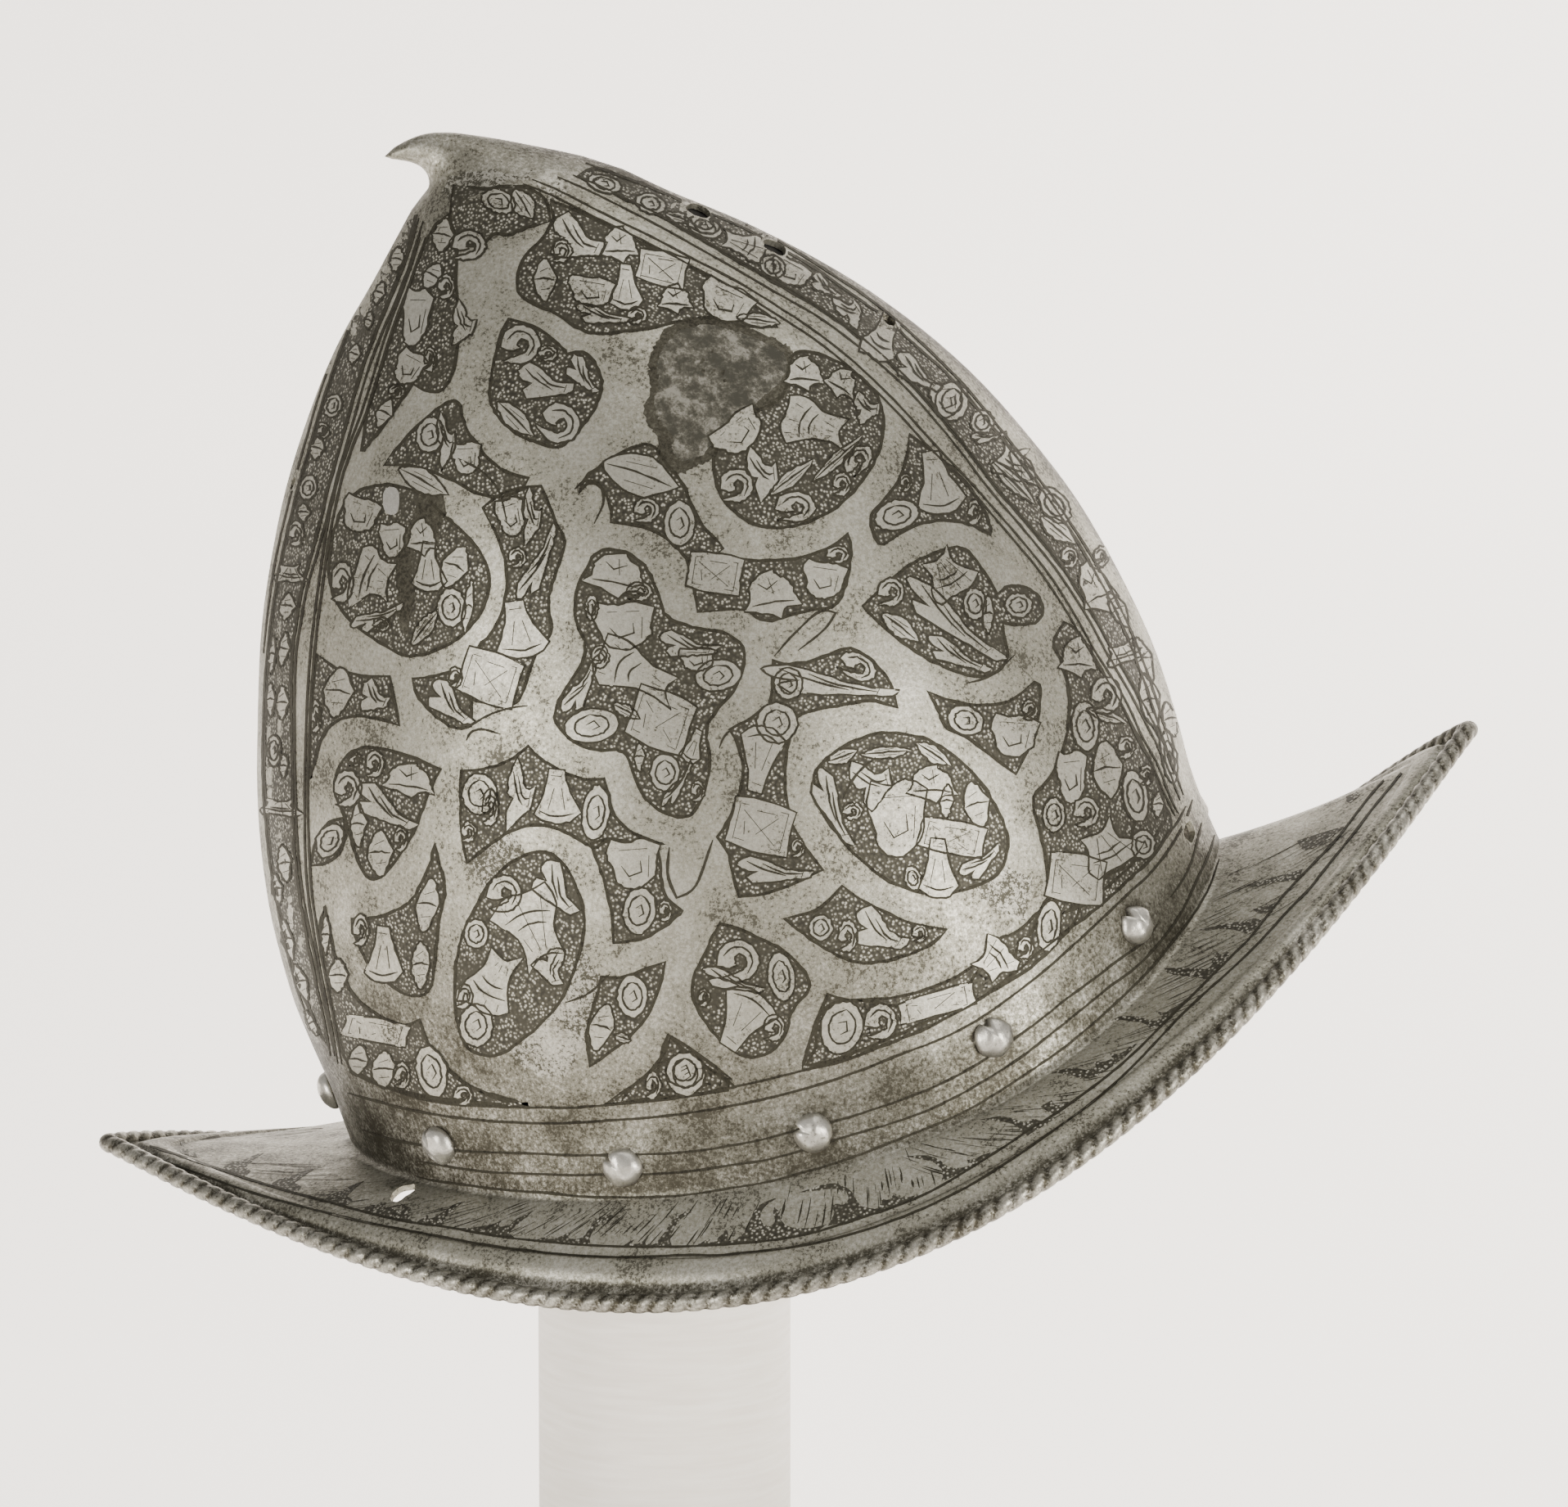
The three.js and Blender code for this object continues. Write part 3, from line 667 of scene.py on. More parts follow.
def close_plate(outer):
    """Gives the plate its inner wall, fully darkened, and joins both at the rim."""
    copy = outer.copy()
    solid = [vert for vert in copy.verts if vert.co.z > INNER_TOP]
    bmesh.ops.delete(copy, geom=solid, context="VERTS")
    soil_and_shade = copy.verts.layers.float["soil_and_shade"]
    for vert in copy.verts:
        vert.co -= vert.normal * WALL
        vert[soil_and_shade] = 1
    bmesh.ops.reverse_faces(copy, faces=copy.faces)
    edges = [edge for edge in copy.edges if edge.is_boundary]
    crown = [edge for edge in edges if edge.verts[0].co.z > CROWN_RING]
    bmesh.ops.edgeloop_fill(copy, edges=crown)
    join_mesh(outer, copy)
    rims = [edge for edge in outer.edges if edge.is_boundary]
    bmesh.ops.bridge_loops(outer, edges=rims)
    return outer


for edge in outer_plate.edges:
    on_ridge = all(abs(vert.co.y) < ON_RIDGE for vert in edge.verts)
    if on_ridge and edge.verts[0].co.z < RIDGE_TOP:
        edge.smooth = False
cut_holes(make_piece("helmet_plate", close_plate(outer_plate), "helmet_shell", plate_steel))


# The etched ornament, charted on enlarged details of the photo.
# A detail is named, with the photo pixel of its corner and its enlargement.
DETAILS = {
    "crown": (440, 170, 3.0154),
    "front": (820, 380, 3.0745),
    "rear": (370, 560, 3.0154),
    "low_rear": (370, 980, 3.0154),
    "low_front": (800, 820, 3.0154),
    "edge": (1100, 500, 2.6125),
    "whole": (0, 0, 1.0),
}

# Outlines of the dark etched grounds between the straps, as x,y in a detail
GROUNDS = {
    "crown": [
        "545,665 650,690 745,765 765,795 800,780 845,795 875,840 895,900 880,960 850,1020 810,1070"
        " 760,1125 720,1140 660,1120 600,1100 540,1060 500,1010 475,960 480,900 495,820 510,740",
        "700,225 860,290 1010,370 1190,455 1340,540 1500,640 1540,690 1400,690 1300,655 1200,665"
        " 1080,695 960,712 870,722 800,700 720,640 600,590 570,540 600,430 660,380 720,300",
        "345,170 470,185 590,165 690,215 700,300 600,330 540,360 500,340 440,400 350,380 330,300",
        "330,960 370,970 380,1050 420,1110 470,1180 540,1230 620,1250 590,1300 480,1330 330,1250"
        " 200,1200 90,1200 160,1110 250,1020",
    ],
    "front": [
        "465,150 560,160 680,220 760,290 795,370 800,440 785,520 740,610 680,690 590,760 500,800"
        " 400,820 300,800 230,750 180,690 160,600 160,530 210,450 290,390 400,340 440,290 440,200",
        "895,465 1000,540 1090,620 1150,700 1200,800 1200,840 1150,810 1060,785 960,790 880,820"
        " 800,880 770,870 740,770 790,720 850,650 885,560",
        "940,930 1050,885 1110,890 1170,970 1225,1060 1260,1035 1310,1030 1370,1055 1400,1110"
        " 1390,1160 1320,1185 1250,1170 1245,1200 1270,1290 1240,1350 1170,1380 1080,1360 960,1310"
        " 850,1230 760,1150 720,1110 790,1040 870,970",
        "240,930 340,940 480,930 600,890 665,835 680,900 665,1000 640,1080 600,1120 520,1120"
        " 430,1150 350,1170 270,1110 100,1130 90,1050 60,930 120,905",
        "385,1310 420,1330 560,1310 650,1260 720,1280 780,1340 830,1400 850,1490 760,1460 640,1480"
        " 520,1500 440,1540 370,1500 380,1410",
    ],
    "rear": [
        "150,170 200,120 280,95 360,100 440,130 520,210 580,260 630,310 670,370 690,440 680,520"
        " 640,600 570,670 480,715 390,735 320,700 220,640 150,570 105,490 95,400 110,280",
        "665,180 730,130 790,110 880,100 905,160 940,260 970,290 950,380 920,450 900,540 925,640"
        " 880,680 840,760 800,900 740,910 620,890 580,860 640,700 700,640 740,560 755,440 740,330",
        "405,810 480,805 560,780 600,860 625,900 620,985 560,1000 500,960 440,900 415,860",
        "50,720 110,770 200,800 320,805 340,900 355,985 290,960 190,945 110,970 60,1040 30,1180"
        " 25,1000 35,860",
        "120,1160 170,1080 250,1060 340,1080 430,1110 510,1145 470,1210 440,1300 400,1396 340,1486"
        " 280,1556 230,1540 190,1450 160,1330 115,1230",
        "30,1500 40,1420 90,1340 150,1322 165,1400 110,1490",
        "1000,550 1010,470 1050,400 1075,345 1160,330 1240,370 1290,440 1320,540 1340,590 1450,625"
        " 1560,640 1640,700 1600,850 1520,930 1480,1000 1500,1080 1500,1170 1450,1300 1400,1330"
        " 1300,1290 1240,1230 1200,1090 1150,1070 1090,1080 1000,1050 950,1000 920,950 960,860"
        " 1030,760 1045,680 1010,620",
        "1015,135 1035,75 1090,30 1200,-40 1291,-56 1341,24 1396,79 1430,170 1480,260 1550,330"
        " 1450,400 1416,369 1340,290 1240,245 1135,235 1135,170 1100,100 1050,85",
        "585,1150 680,1145 770,1110 830,1060 880,1110 960,1160 1050,1185 1110,1180 1130,1250"
        " 1150,1330 1230,1390 1330,1420 1200,1435 1120,1400 1080,1440 1040,1420 980,1380 880,1345"
        " 780,1360 680,1430 605,1490 585,1400 580,1250",
    ],
    "low_rear": [
        "560,640 570,560 590,480 640,380 690,290 760,225 830,185 900,180 960,220 1000,290 1030,370"
        " 1040,460 1020,560 990,650 960,720 880,820 800,880 740,930 650,935 590,890 560,780",
        "485,150 500,220 530,330 500,420 490,560 475,700 400,720 300,660 230,580 190,480 180,430"
        " 260,430 340,400 400,370 440,290 475,220",
        "80,380 110,540 150,650 210,740 300,800 380,830 430,800 450,860 490,940 560,1010 640,1060"
        " 740,1090 830,1112 640,1110 500,1090 340,1060 220,1010 150,950 120,800 80,600 60,460",
        "1130,130 1200,150 1310,170 1320,260 1330,350 1400,400 1380,420 1290,490 1220,510 1145,520"
        " 1140,400 1110,290 1080,200 1060,150",
        "1100,640 1170,650 1250,620 1335,590 1310,700 1270,790 1210,860 1120,930 1060,970 1050,900"
        " 1040,850 1080,730",
        "1355,870 1400,910 1480,970 1568,1020 1568,1060 1400,1085 1250,1090 1170,1110 1200,1060"
        " 1280,990 1330,930",
    ],
    "low_front": [
        "580,390 620,330 700,270 800,230 900,225 1000,245 1090,300 1180,380 1250,480 1300,590"
        " 1300,680 1260,760 1160,800 1060,825 940,810 820,750 720,660 640,560 590,470",
        "275,215 345,180 430,110 520,150 500,230 480,330 480,450 500,560 560,660 620,730 540,770"
        " 420,820 310,830 290,760 270,660 230,610 270,560 310,460 330,360 310,270",
        "475,910 540,900 620,870 690,790 740,830 850,890 960,935 1075,955 1030,1000 950,1040"
        " 840,1075 730,1075 640,1030 560,980",
        "240,930 320,950 400,990 480,1030 540,1090 575,1140 560,1190 500,1250 490,1330 440,1400"
        " 345,1430 270,1390 200,1310 145,1230 135,1140 180,1050 210,980",
        "560,1450 600,1380 590,1300 640,1190 700,1212 820,1210 950,1190 1080,1145 1180,1085"
        " 1260,985 1330,968 1400,900 1450,850 1480,760 1568,800 1568,905 1450,1035 1350,1120"
        " 1200,1205 1050,1270 900,1335 760,1395 640,1440",
        "1005,75 1080,110 1200,130 1320,110 1400,40 1425,60 1410,200 1370,300 1330,380 1250,320"
        " 1150,240 1065,210 1050,150",
        "50,1340 120,1380 200,1440 280,1500 100,1540 0,1550 20,1420",
    ],
    "edge": [
        "525,680 560,700 620,790 680,900 740,1010 800,1120 855,1290 830,1340 760,1430 700,1490"
        " 640,1540 600,1580 480,1620 470,1470 450,1360 415,1240 470,1190 510,1120 540,1020 540,880"
        " 510,790 480,740",
    ],
    "whole": [
        "522,285 548,262 560,300 556,340 562,400 558,440 548,472 528,482 505,470 488,492 468,522"
        " 446,548 442,552 446,515 462,462 480,408 500,355",
        "705,215 730,227 770,246 810,266 860,295 900,318 950,347 1000,375 1050,412 1100,455 1146,505 1182,549"
        " 1218,598 1247,630 1282,672 1302,699 1336,751 1359,796 1386,841 1415,896 1434,940 1437,950 1420,900"
        " 1404,850 1386,800 1366,752 1340,702 1312,655 1275,600 1240,556 1200,507 1160,458 1120,424 1085,390"
        " 1050,366 1000,330 950,301 900,274 850,254 800,231 760,216 725,203",
        "509,262 496,318 474,370 455,415 440,456 421,526 403,586 390,642 380,679 369,716 363,754 357,797"
        " 356,850 357,900 358,950 358,1000 361,1050 367,1100 376,1150 386,1200 397,1250 402,1280 388,1255"
        " 375,1225 362,1195 350,1150 339,1100 331,1050 326,1000 323,950 323,900 325,850 328,800 334,750"
        " 342,700 350,660 360,620 370,580 382,540 393,500 406,460 419,425 432,390 447,352 470,312 488,280",
        "430,1306 445,1318 480,1330 520,1342 547,1347 600,1349 640,1351 600,1340 565,1322 540,1300 520,1290"
        " 500,1300 470,1296 445,1285",
        "740,1349 767,1347 800,1344 840,1339 877,1331 900,1328 885,1318 862,1304 845,1290 838,1284 822,1290"
        " 800,1304 780,1322",
        "980,1307 1010,1301 1034,1295 1080,1277 1118,1262 1157,1244 1199,1220 1225,1200 1240,1188 1238,1160"
        " 1215,1170 1190,1190 1180,1212 1150,1222 1100,1232 1080,1226 1050,1222 1020,1222 1000,1240 992,1262"
        " 985,1288",
        "1240,1188 1270,1163 1300,1139 1340,1110 1360,1093 1380,1073 1400,1057 1420,1030 1433,1008 1425,985"
        " 1405,965 1390,990 1380,1030 1375,1062 1350,1068 1340,1098 1310,1108 1295,1120 1300,1098 1285,1090"
        " 1270,1110 1262,1140 1240,1158",
    ],
}

# Bright trophies left standing on the grounds: shape, middle, half width, half
# height, turn in degrees
TROPHIES = {
    "crown": [
        ("curl", 590, 755, 70, 65, 0), ("horn", 680, 900, 95, 60, 10), ("curl", 735, 1045, 72, 66, 40),
        ("leaf", 570, 1030, 85, 36, 45), ("horn", 820, 870, 75, 40, 50), ("curl", 690, 790, 36, 26, 0),
        ("horn", 800, 370, 95, 75, 20), ("curl", 742, 412, 36, 38, 0), ("helm", 955, 390, 64, 60, 0),
        ("drum", 1112, 478, 82, 56, 8), ("shield", 850, 560, 80, 50, 10), ("bell", 980, 545, 55, 75, 0),
        ("horn", 890, 650, 90, 32, 10), ("curl", 1020, 650, 34, 28, 0), ("leaf", 680, 520, 40, 75, 0),
        ("helm", 1160, 590, 58, 48, 0), ("shield", 1345, 600, 95, 62, 25), ("leaf", 1465, 668, 75, 24, 8),
        ("shield", 205, 655, 48, 100, 10), ("leaf", 268, 505, 32, 50, 30), ("curl", 258, 810, 22, 42, 0),
        ("shield", 180, 840, 50, 60, 30), ("horn", 380, 680, 40, 75, 10), ("curl", 400, 390, 60, 50, 0),
        ("oval", 258, 1090, 48, 62, 10), ("horn", 318, 1110, 30, 95, 0), ("shield", 390, 1175, 50, 55, 0),
        ("leaf", 230, 1260, 95, 40, 30), ("oval", 510, 230, 60, 40, 20), ("leaf", 600, 240, 60, 40, 60),
        ("oval", 900, 165, 60, 30, 15), ("oval", 1070, 238, 54, 34, 18), ("leaf", 1170, 290, 45, 18, 20),
        ("oval", 1270, 325, 62, 34, 20), ("fan", 1410, 388, 80, 52, 20), ("oval", 1520, 470, 46, 36, 30),
    ],
    "front": [
        ("fan", 545, 430, 115, 90, 200), ("helm", 500, 235, 68, 58, 0), ("helm", 640, 270, 58, 50, 30),
        ("horn", 735, 365, 45, 56, 0), ("shield", 250, 460, 95, 60, -40), ("curl", 245, 655, 60, 58, 0),
        ("horn", 345, 610, 50, 95, -10), ("leaf", 450, 630, 95, 26, -38), ("curl", 465, 735, 72, 52, 0),
        ("leaf", 620, 560, 115, 22, -42), ("curl", 700, 560, 60, 40, -45), ("curl", 640, 650, 34, 40, 0),
        ("bell", 1000, 645, 82, 105, -12), ("oval", 848, 767, 78, 52, -15), ("curl", 1138, 755, 26, 42, 0),
        ("curl", 880, 645, 22, 32, 0), ("fan", 1035, 985, 82, 92, 60), ("horn", 1055, 1165, 215, 52, 38),
        ("oval", 1140, 1100, 40, 56, -5), ("leaf", 1190, 1140, 20, 70, 0), ("oval", 1305, 1105, 48, 44, 0),
        ("leaf", 858, 1187, 80, 34, 38), ("horn", 1075, 1295, 120, 38, 25), ("curl", 825, 1055, 48, 48, 0),
        ("drum", 165, 985, 92, 68, 5), ("helm", 375, 1065, 95, 82, -10), ("shield", 572, 1008, 76, 66, 10),
        ("curl", 625, 915, 42, 30, 0), ("horn", 590, 1400, 235, 44, 8), ("curl", 700, 1335, 70, 44, 30),
        ("oval", 440, 1400, 50, 56, 0), ("fan", 800, 92, 86, 66, 120), ("horn", 925, 235, 95, 40, 35),
        ("oval", 1055, 340, 58, 68, 10), ("oval", 1168, 418, 40, 42, 0), ("horn", 1190, 472, 60, 20, -10),
        ("fan", 1285, 565, 58, 74, 110), ("leaf", 1280, 640, 110, 26, 45), ("oval", 1440, 730, 44, 72, -38),
        ("leaf", 1450, 822, 76, 34, 40), ("curl", 1495, 925, 30, 36, 0),
    ],
    "rear": [
        ("shield", 210, 205, 64, 60, 20), ("fan", 262, 440, 68, 115, 200), ("curl", 145, 455, 40, 68, 0),
        ("horn", 275, 585, 95, 30, -25), ("bell", 465, 400, 55, 80, 0), ("leaf", 560, 400, 46, 78, 25),
        ("oval", 548, 550, 50, 66, 0), ("leaf", 450, 625, 75, 28, -52), ("helm", 440, 290, 52, 62, 0),
        ("curl", 290, 612, 30, 24, 0), ("leaf", 610, 550, 18, 95, 8), ("shield", 330, 300, 45, 60, 0),
        ("shield", 765, 215, 48, 66, -10), ("horn", 845, 215, 32, 95, 5), ("horn", 868, 390, 140, 34, -66),
        ("curl", 790, 365, 32, 34, 0), ("bell", 800, 630, 86, 92, -10), ("drum", 690, 808, 98, 86, 14),
        ("curl", 563, 805, 24, 34, 0), ("horn", 545, 905, 95, 50, 42), ("leaf", 130, 862, 52, 88, 8),
        ("horn", 265, 880, 52, 58, 20), ("curl", 50, 950, 18, 56, 0), ("oval", 100, 1408, 44, 62, 30),
        ("curl", 165, 1215, 48, 62, 0), ("horn", 305, 1290, 118, 50, 32), ("helm", 392, 1185, 88, 58, 8),
        ("leaf", 205, 1350, 28, 78, 0), ("leaf", 285, 1455, 44, 82, 0), ("curl", 362, 1400, 24, 42, 0),
        ("curl", 265, 1125, 32, 46, 0), ("curl", 195, 1110, 22, 24, 0), ("helm", 1155, 430, 105, 74, 10),
        ("curl", 1240, 490, 44, 32, 0), ("shield", 1180, 615, 104, 80, 0), ("oval", 1065, 550, 22, 44, 0),
        ("fan", 1235, 795, 150, 92, 210), ("drum", 1318, 965, 102, 96, 16), ("horn", 1022, 850, 98, 36, -62),
        ("oval", 1065, 985, 94, 58, -8), ("horn", 1420, 690, 100, 44, 8), ("oval", 1530, 800, 80, 54, -10),
        ("oval", 1335, 1158, 52, 64, 0), ("horn", 1380, 1205, 88, 22, -58), ("bell", 1440, 1060, 34, 56, 20),
        ("leaf", 1240, 1100, 18, 50, 0), ("curl", 1095, 730, 32, 38, 0), ("curl", 1455, 1225, 24, 36, 0),
        ("leaf", 1190, 930, 52, 22, 30), ("leaf", 1240, 62, 135, 74, 20), ("oval", 1388, 240, 54, 78, 0),
        ("curl", 1265, 190, 46, 42, 0), ("oval", 652, 1236, 60, 70, 0), ("horn", 800, 1240, 46, 118, 10),
        ("bell", 938, 1245, 76, 88, 0), ("oval", 1080, 1305, 48, 94, 6), ("curl", 692, 1285, 28, 62, 0),
        ("curl", 612, 1376, 28, 34, 0), ("shield", 1450, 740, 60, 40, 0),
    ],
    "low_rear": [
        ("fan", 850, 470, 130, 120, 250), ("curl", 742, 335, 60, 62, 0), ("horn", 935, 320, 100, 62, 52),
        ("oval", 640, 485, 42, 50, 0), ("fan", 705, 655, 110, 96, 120), ("oval", 640, 822, 58, 74, 0),
        ("horn", 920, 610, 60, 60, 70), ("curl", 595, 715, 30, 42, 0), ("leaf", 460, 380, 40, 96, 10),
        ("bell", 300, 560, 62, 92, 0), ("curl", 215, 470, 28, 54, 0), ("leaf", 435, 600, 34, 84, 0),
        ("drum", 270, 840, 108, 40, 8), ("leaf", 205, 950, 36, 54, 10), ("leaf", 300, 985, 44, 66, 0),
        ("curl", 365, 1005, 30, 46, 0), ("oval", 475, 992, 52, 90, -14), ("curl", 590, 1080, 34, 34, 0),
        ("leaf", 85, 490, 16, 68, 0), ("leaf", 130, 640, 34, 60, 0), ("shield", 1215, 225, 88, 84, 0),
        ("oval", 1240, 400, 58, 80, 6), ("curl", 1335, 400, 24, 36, 0), ("oval", 1215, 715, 54, 74, 0),
        ("leaf", 1100, 830, 42, 84, 16), ("oval", 1410, 1000, 66, 78, 0), ("curl", 1290, 1042, 28, 46, 0),
        ("leaf", 1180, 868, 30, 18, 20),
    ],
    "low_front": [
        ("horn", 655, 500, 140, 44, 64), ("shield", 890, 540, 100, 130, 0), ("helm", 1020, 415, 84, 62, 0),
        ("horn", 800, 410, 66, 88, -20), ("leaf", 850, 300, 88, 22, -4), ("leaf", 1025, 305, 72, 28, 34),
        ("leaf", 1185, 492, 46, 82, -16), ("drum", 1095, 612, 110, 56, 8), ("bell", 1045, 725, 66, 96, 0),
        ("horn", 1200, 705, 80, 36, -42), ("oval", 950, 762, 28, 42, -10), ("leaf", 690, 315, 55, 26, -20),
        ("curl", 728, 515, 36, 28, 0), ("leaf", 1075, 480, 24, 60, 4), ("oval", 450, 190, 70, 70, 0),
        ("bell", 388, 325, 74, 108, -170), ("drum", 390, 572, 104, 88, 10), ("horn", 440, 737, 128, 44, 4),
        ("curl", 527, 650, 24, 32, 0), ("oval", 612, 945, 42, 44, 0), ("horn", 830, 960, 98, 66, 24),
        ("curl", 710, 975, 34, 54, 0), ("curl", 975, 965, 28, 30, 0), ("curl", 305, 1065, 75, 70, 0),
        ("horn", 285, 1142, 108, 32, 16), ("bell", 322, 1285, 94, 100, -150), ("oval", 467, 1125, 46, 84, -8),
        ("curl", 180, 1202, 22, 30, 0), ("curl", 440, 1312, 38, 44, 0), ("oval", 690, 1312, 72, 92, 14),
        ("curl", 832, 1290, 56, 60, 0), ("drum", 1040, 1225, 130, 40, -18), ("fan", 1250, 1068, 64, 80, -40),
        ("curl", 1365, 1018, 28, 38, 0), ("oval", 1452, 940, 42, 88, 6), ("oval", 1145, 182, 64, 50, 22),
        ("shield", 1320, 235, 80, 72, 8), ("curl", 1380, 142, 28, 34, 0), ("oval", 110, 1468, 64, 60, 0),
    ],
    "edge": [
        ("helm", 565, 792, 54, 58, 0), ("curl", 655, 912, 46, 54, 0), ("leaf", 655, 978, 62, 18, 20),
        ("oval", 590, 1012, 40, 74, -6), ("curl", 720, 1078, 26, 34, 0), ("leaf", 660, 1150, 46, 88, -8),
        ("shield", 545, 1172, 44, 78, 0), ("oval", 750, 1235, 38, 78, -10), ("fan", 660, 1395, 68, 94, 60),
        ("oval", 775, 1390, 36, 44, 0), ("oval", 490, 1295, 34, 52, 0), ("curl", 592, 1285, 40, 44, 0),
        ("drum", 560, 1500, 82, 72, 4), ("leaf", 822, 1262, 18, 40, 0), ("curl", 785, 1168, 20, 30, 0),
        ("helm", 622, 572, 50, 78, -24), ("leaf", 695, 640, 24, 60, -30), ("fan", 715, 775, 30, 66, 70),
        ("leaf", 778, 800, 24, 70, -20), ("leaf", 795, 930, 30, 84, -12), ("oval", 858, 1110, 22, 78, -9),
        ("curl", 640, 470, 22, 30, 0), ("leaf", 860, 990, 22, 54, -14),
    ],
    "whole": [
        ("leaf", 485, 317, 8, 15, 10), ("leaf", 464, 358, 6, 14, 20), ("leaf", 451, 392, 5, 10, 10),
        ("leaf", 433, 433, 7, 12, 15), ("oval", 407, 496, 10, 14, 20), ("curl", 395, 526, 7, 9, 0),
        ("leaf", 388, 548, 8, 14, 15), ("oval", 377, 596, 10, 14, 15), ("leaf", 371, 626, 8, 10, 0),
        ("curl", 362, 652, 9, 14, 0), ("fan", 355, 700, 10, 20, 95), ("leaf", 351, 741, 9, 16, 10),
        ("leaf", 347, 793, 6, 20, 8), ("leaf", 333, 800, 4, 22, 4), ("leaf", 345, 859, 7, 20, 0),
        ("leaf", 331, 855, 5, 20, 0), ("oval", 335, 917, 8, 18, 0), ("leaf", 347, 936, 5, 14, 0),
        ("fan", 343, 986, 9, 26, 95), ("leaf", 348, 1055, 8, 22, -8), ("leaf", 339, 1086, 6, 18, -10),
        ("leaf", 352, 1148, 6, 24, -14), ("leaf", 368, 1200, 7, 22, -20),
        ("leaf", 381, 1250, 5, 16, -25), ("oval", 858, 272, 21, 11, 20), ("shield", 965, 332, 24, 14, 30),
        ("horn", 1008, 350, 20, 9, 35), ("horn", 1038, 380, 12, 22, -35), ("leaf", 541, 288, 12, 20, 10),
        ("curl", 545, 350, 10, 14, 0), ("leaf", 470, 505, 9, 18, 25), ("curl", 485, 478, 9, 8, 0),
        ("shield", 1155, 488, 18, 20, 0), ("leaf", 1250, 572, 24, 10, 55),
    ],
}

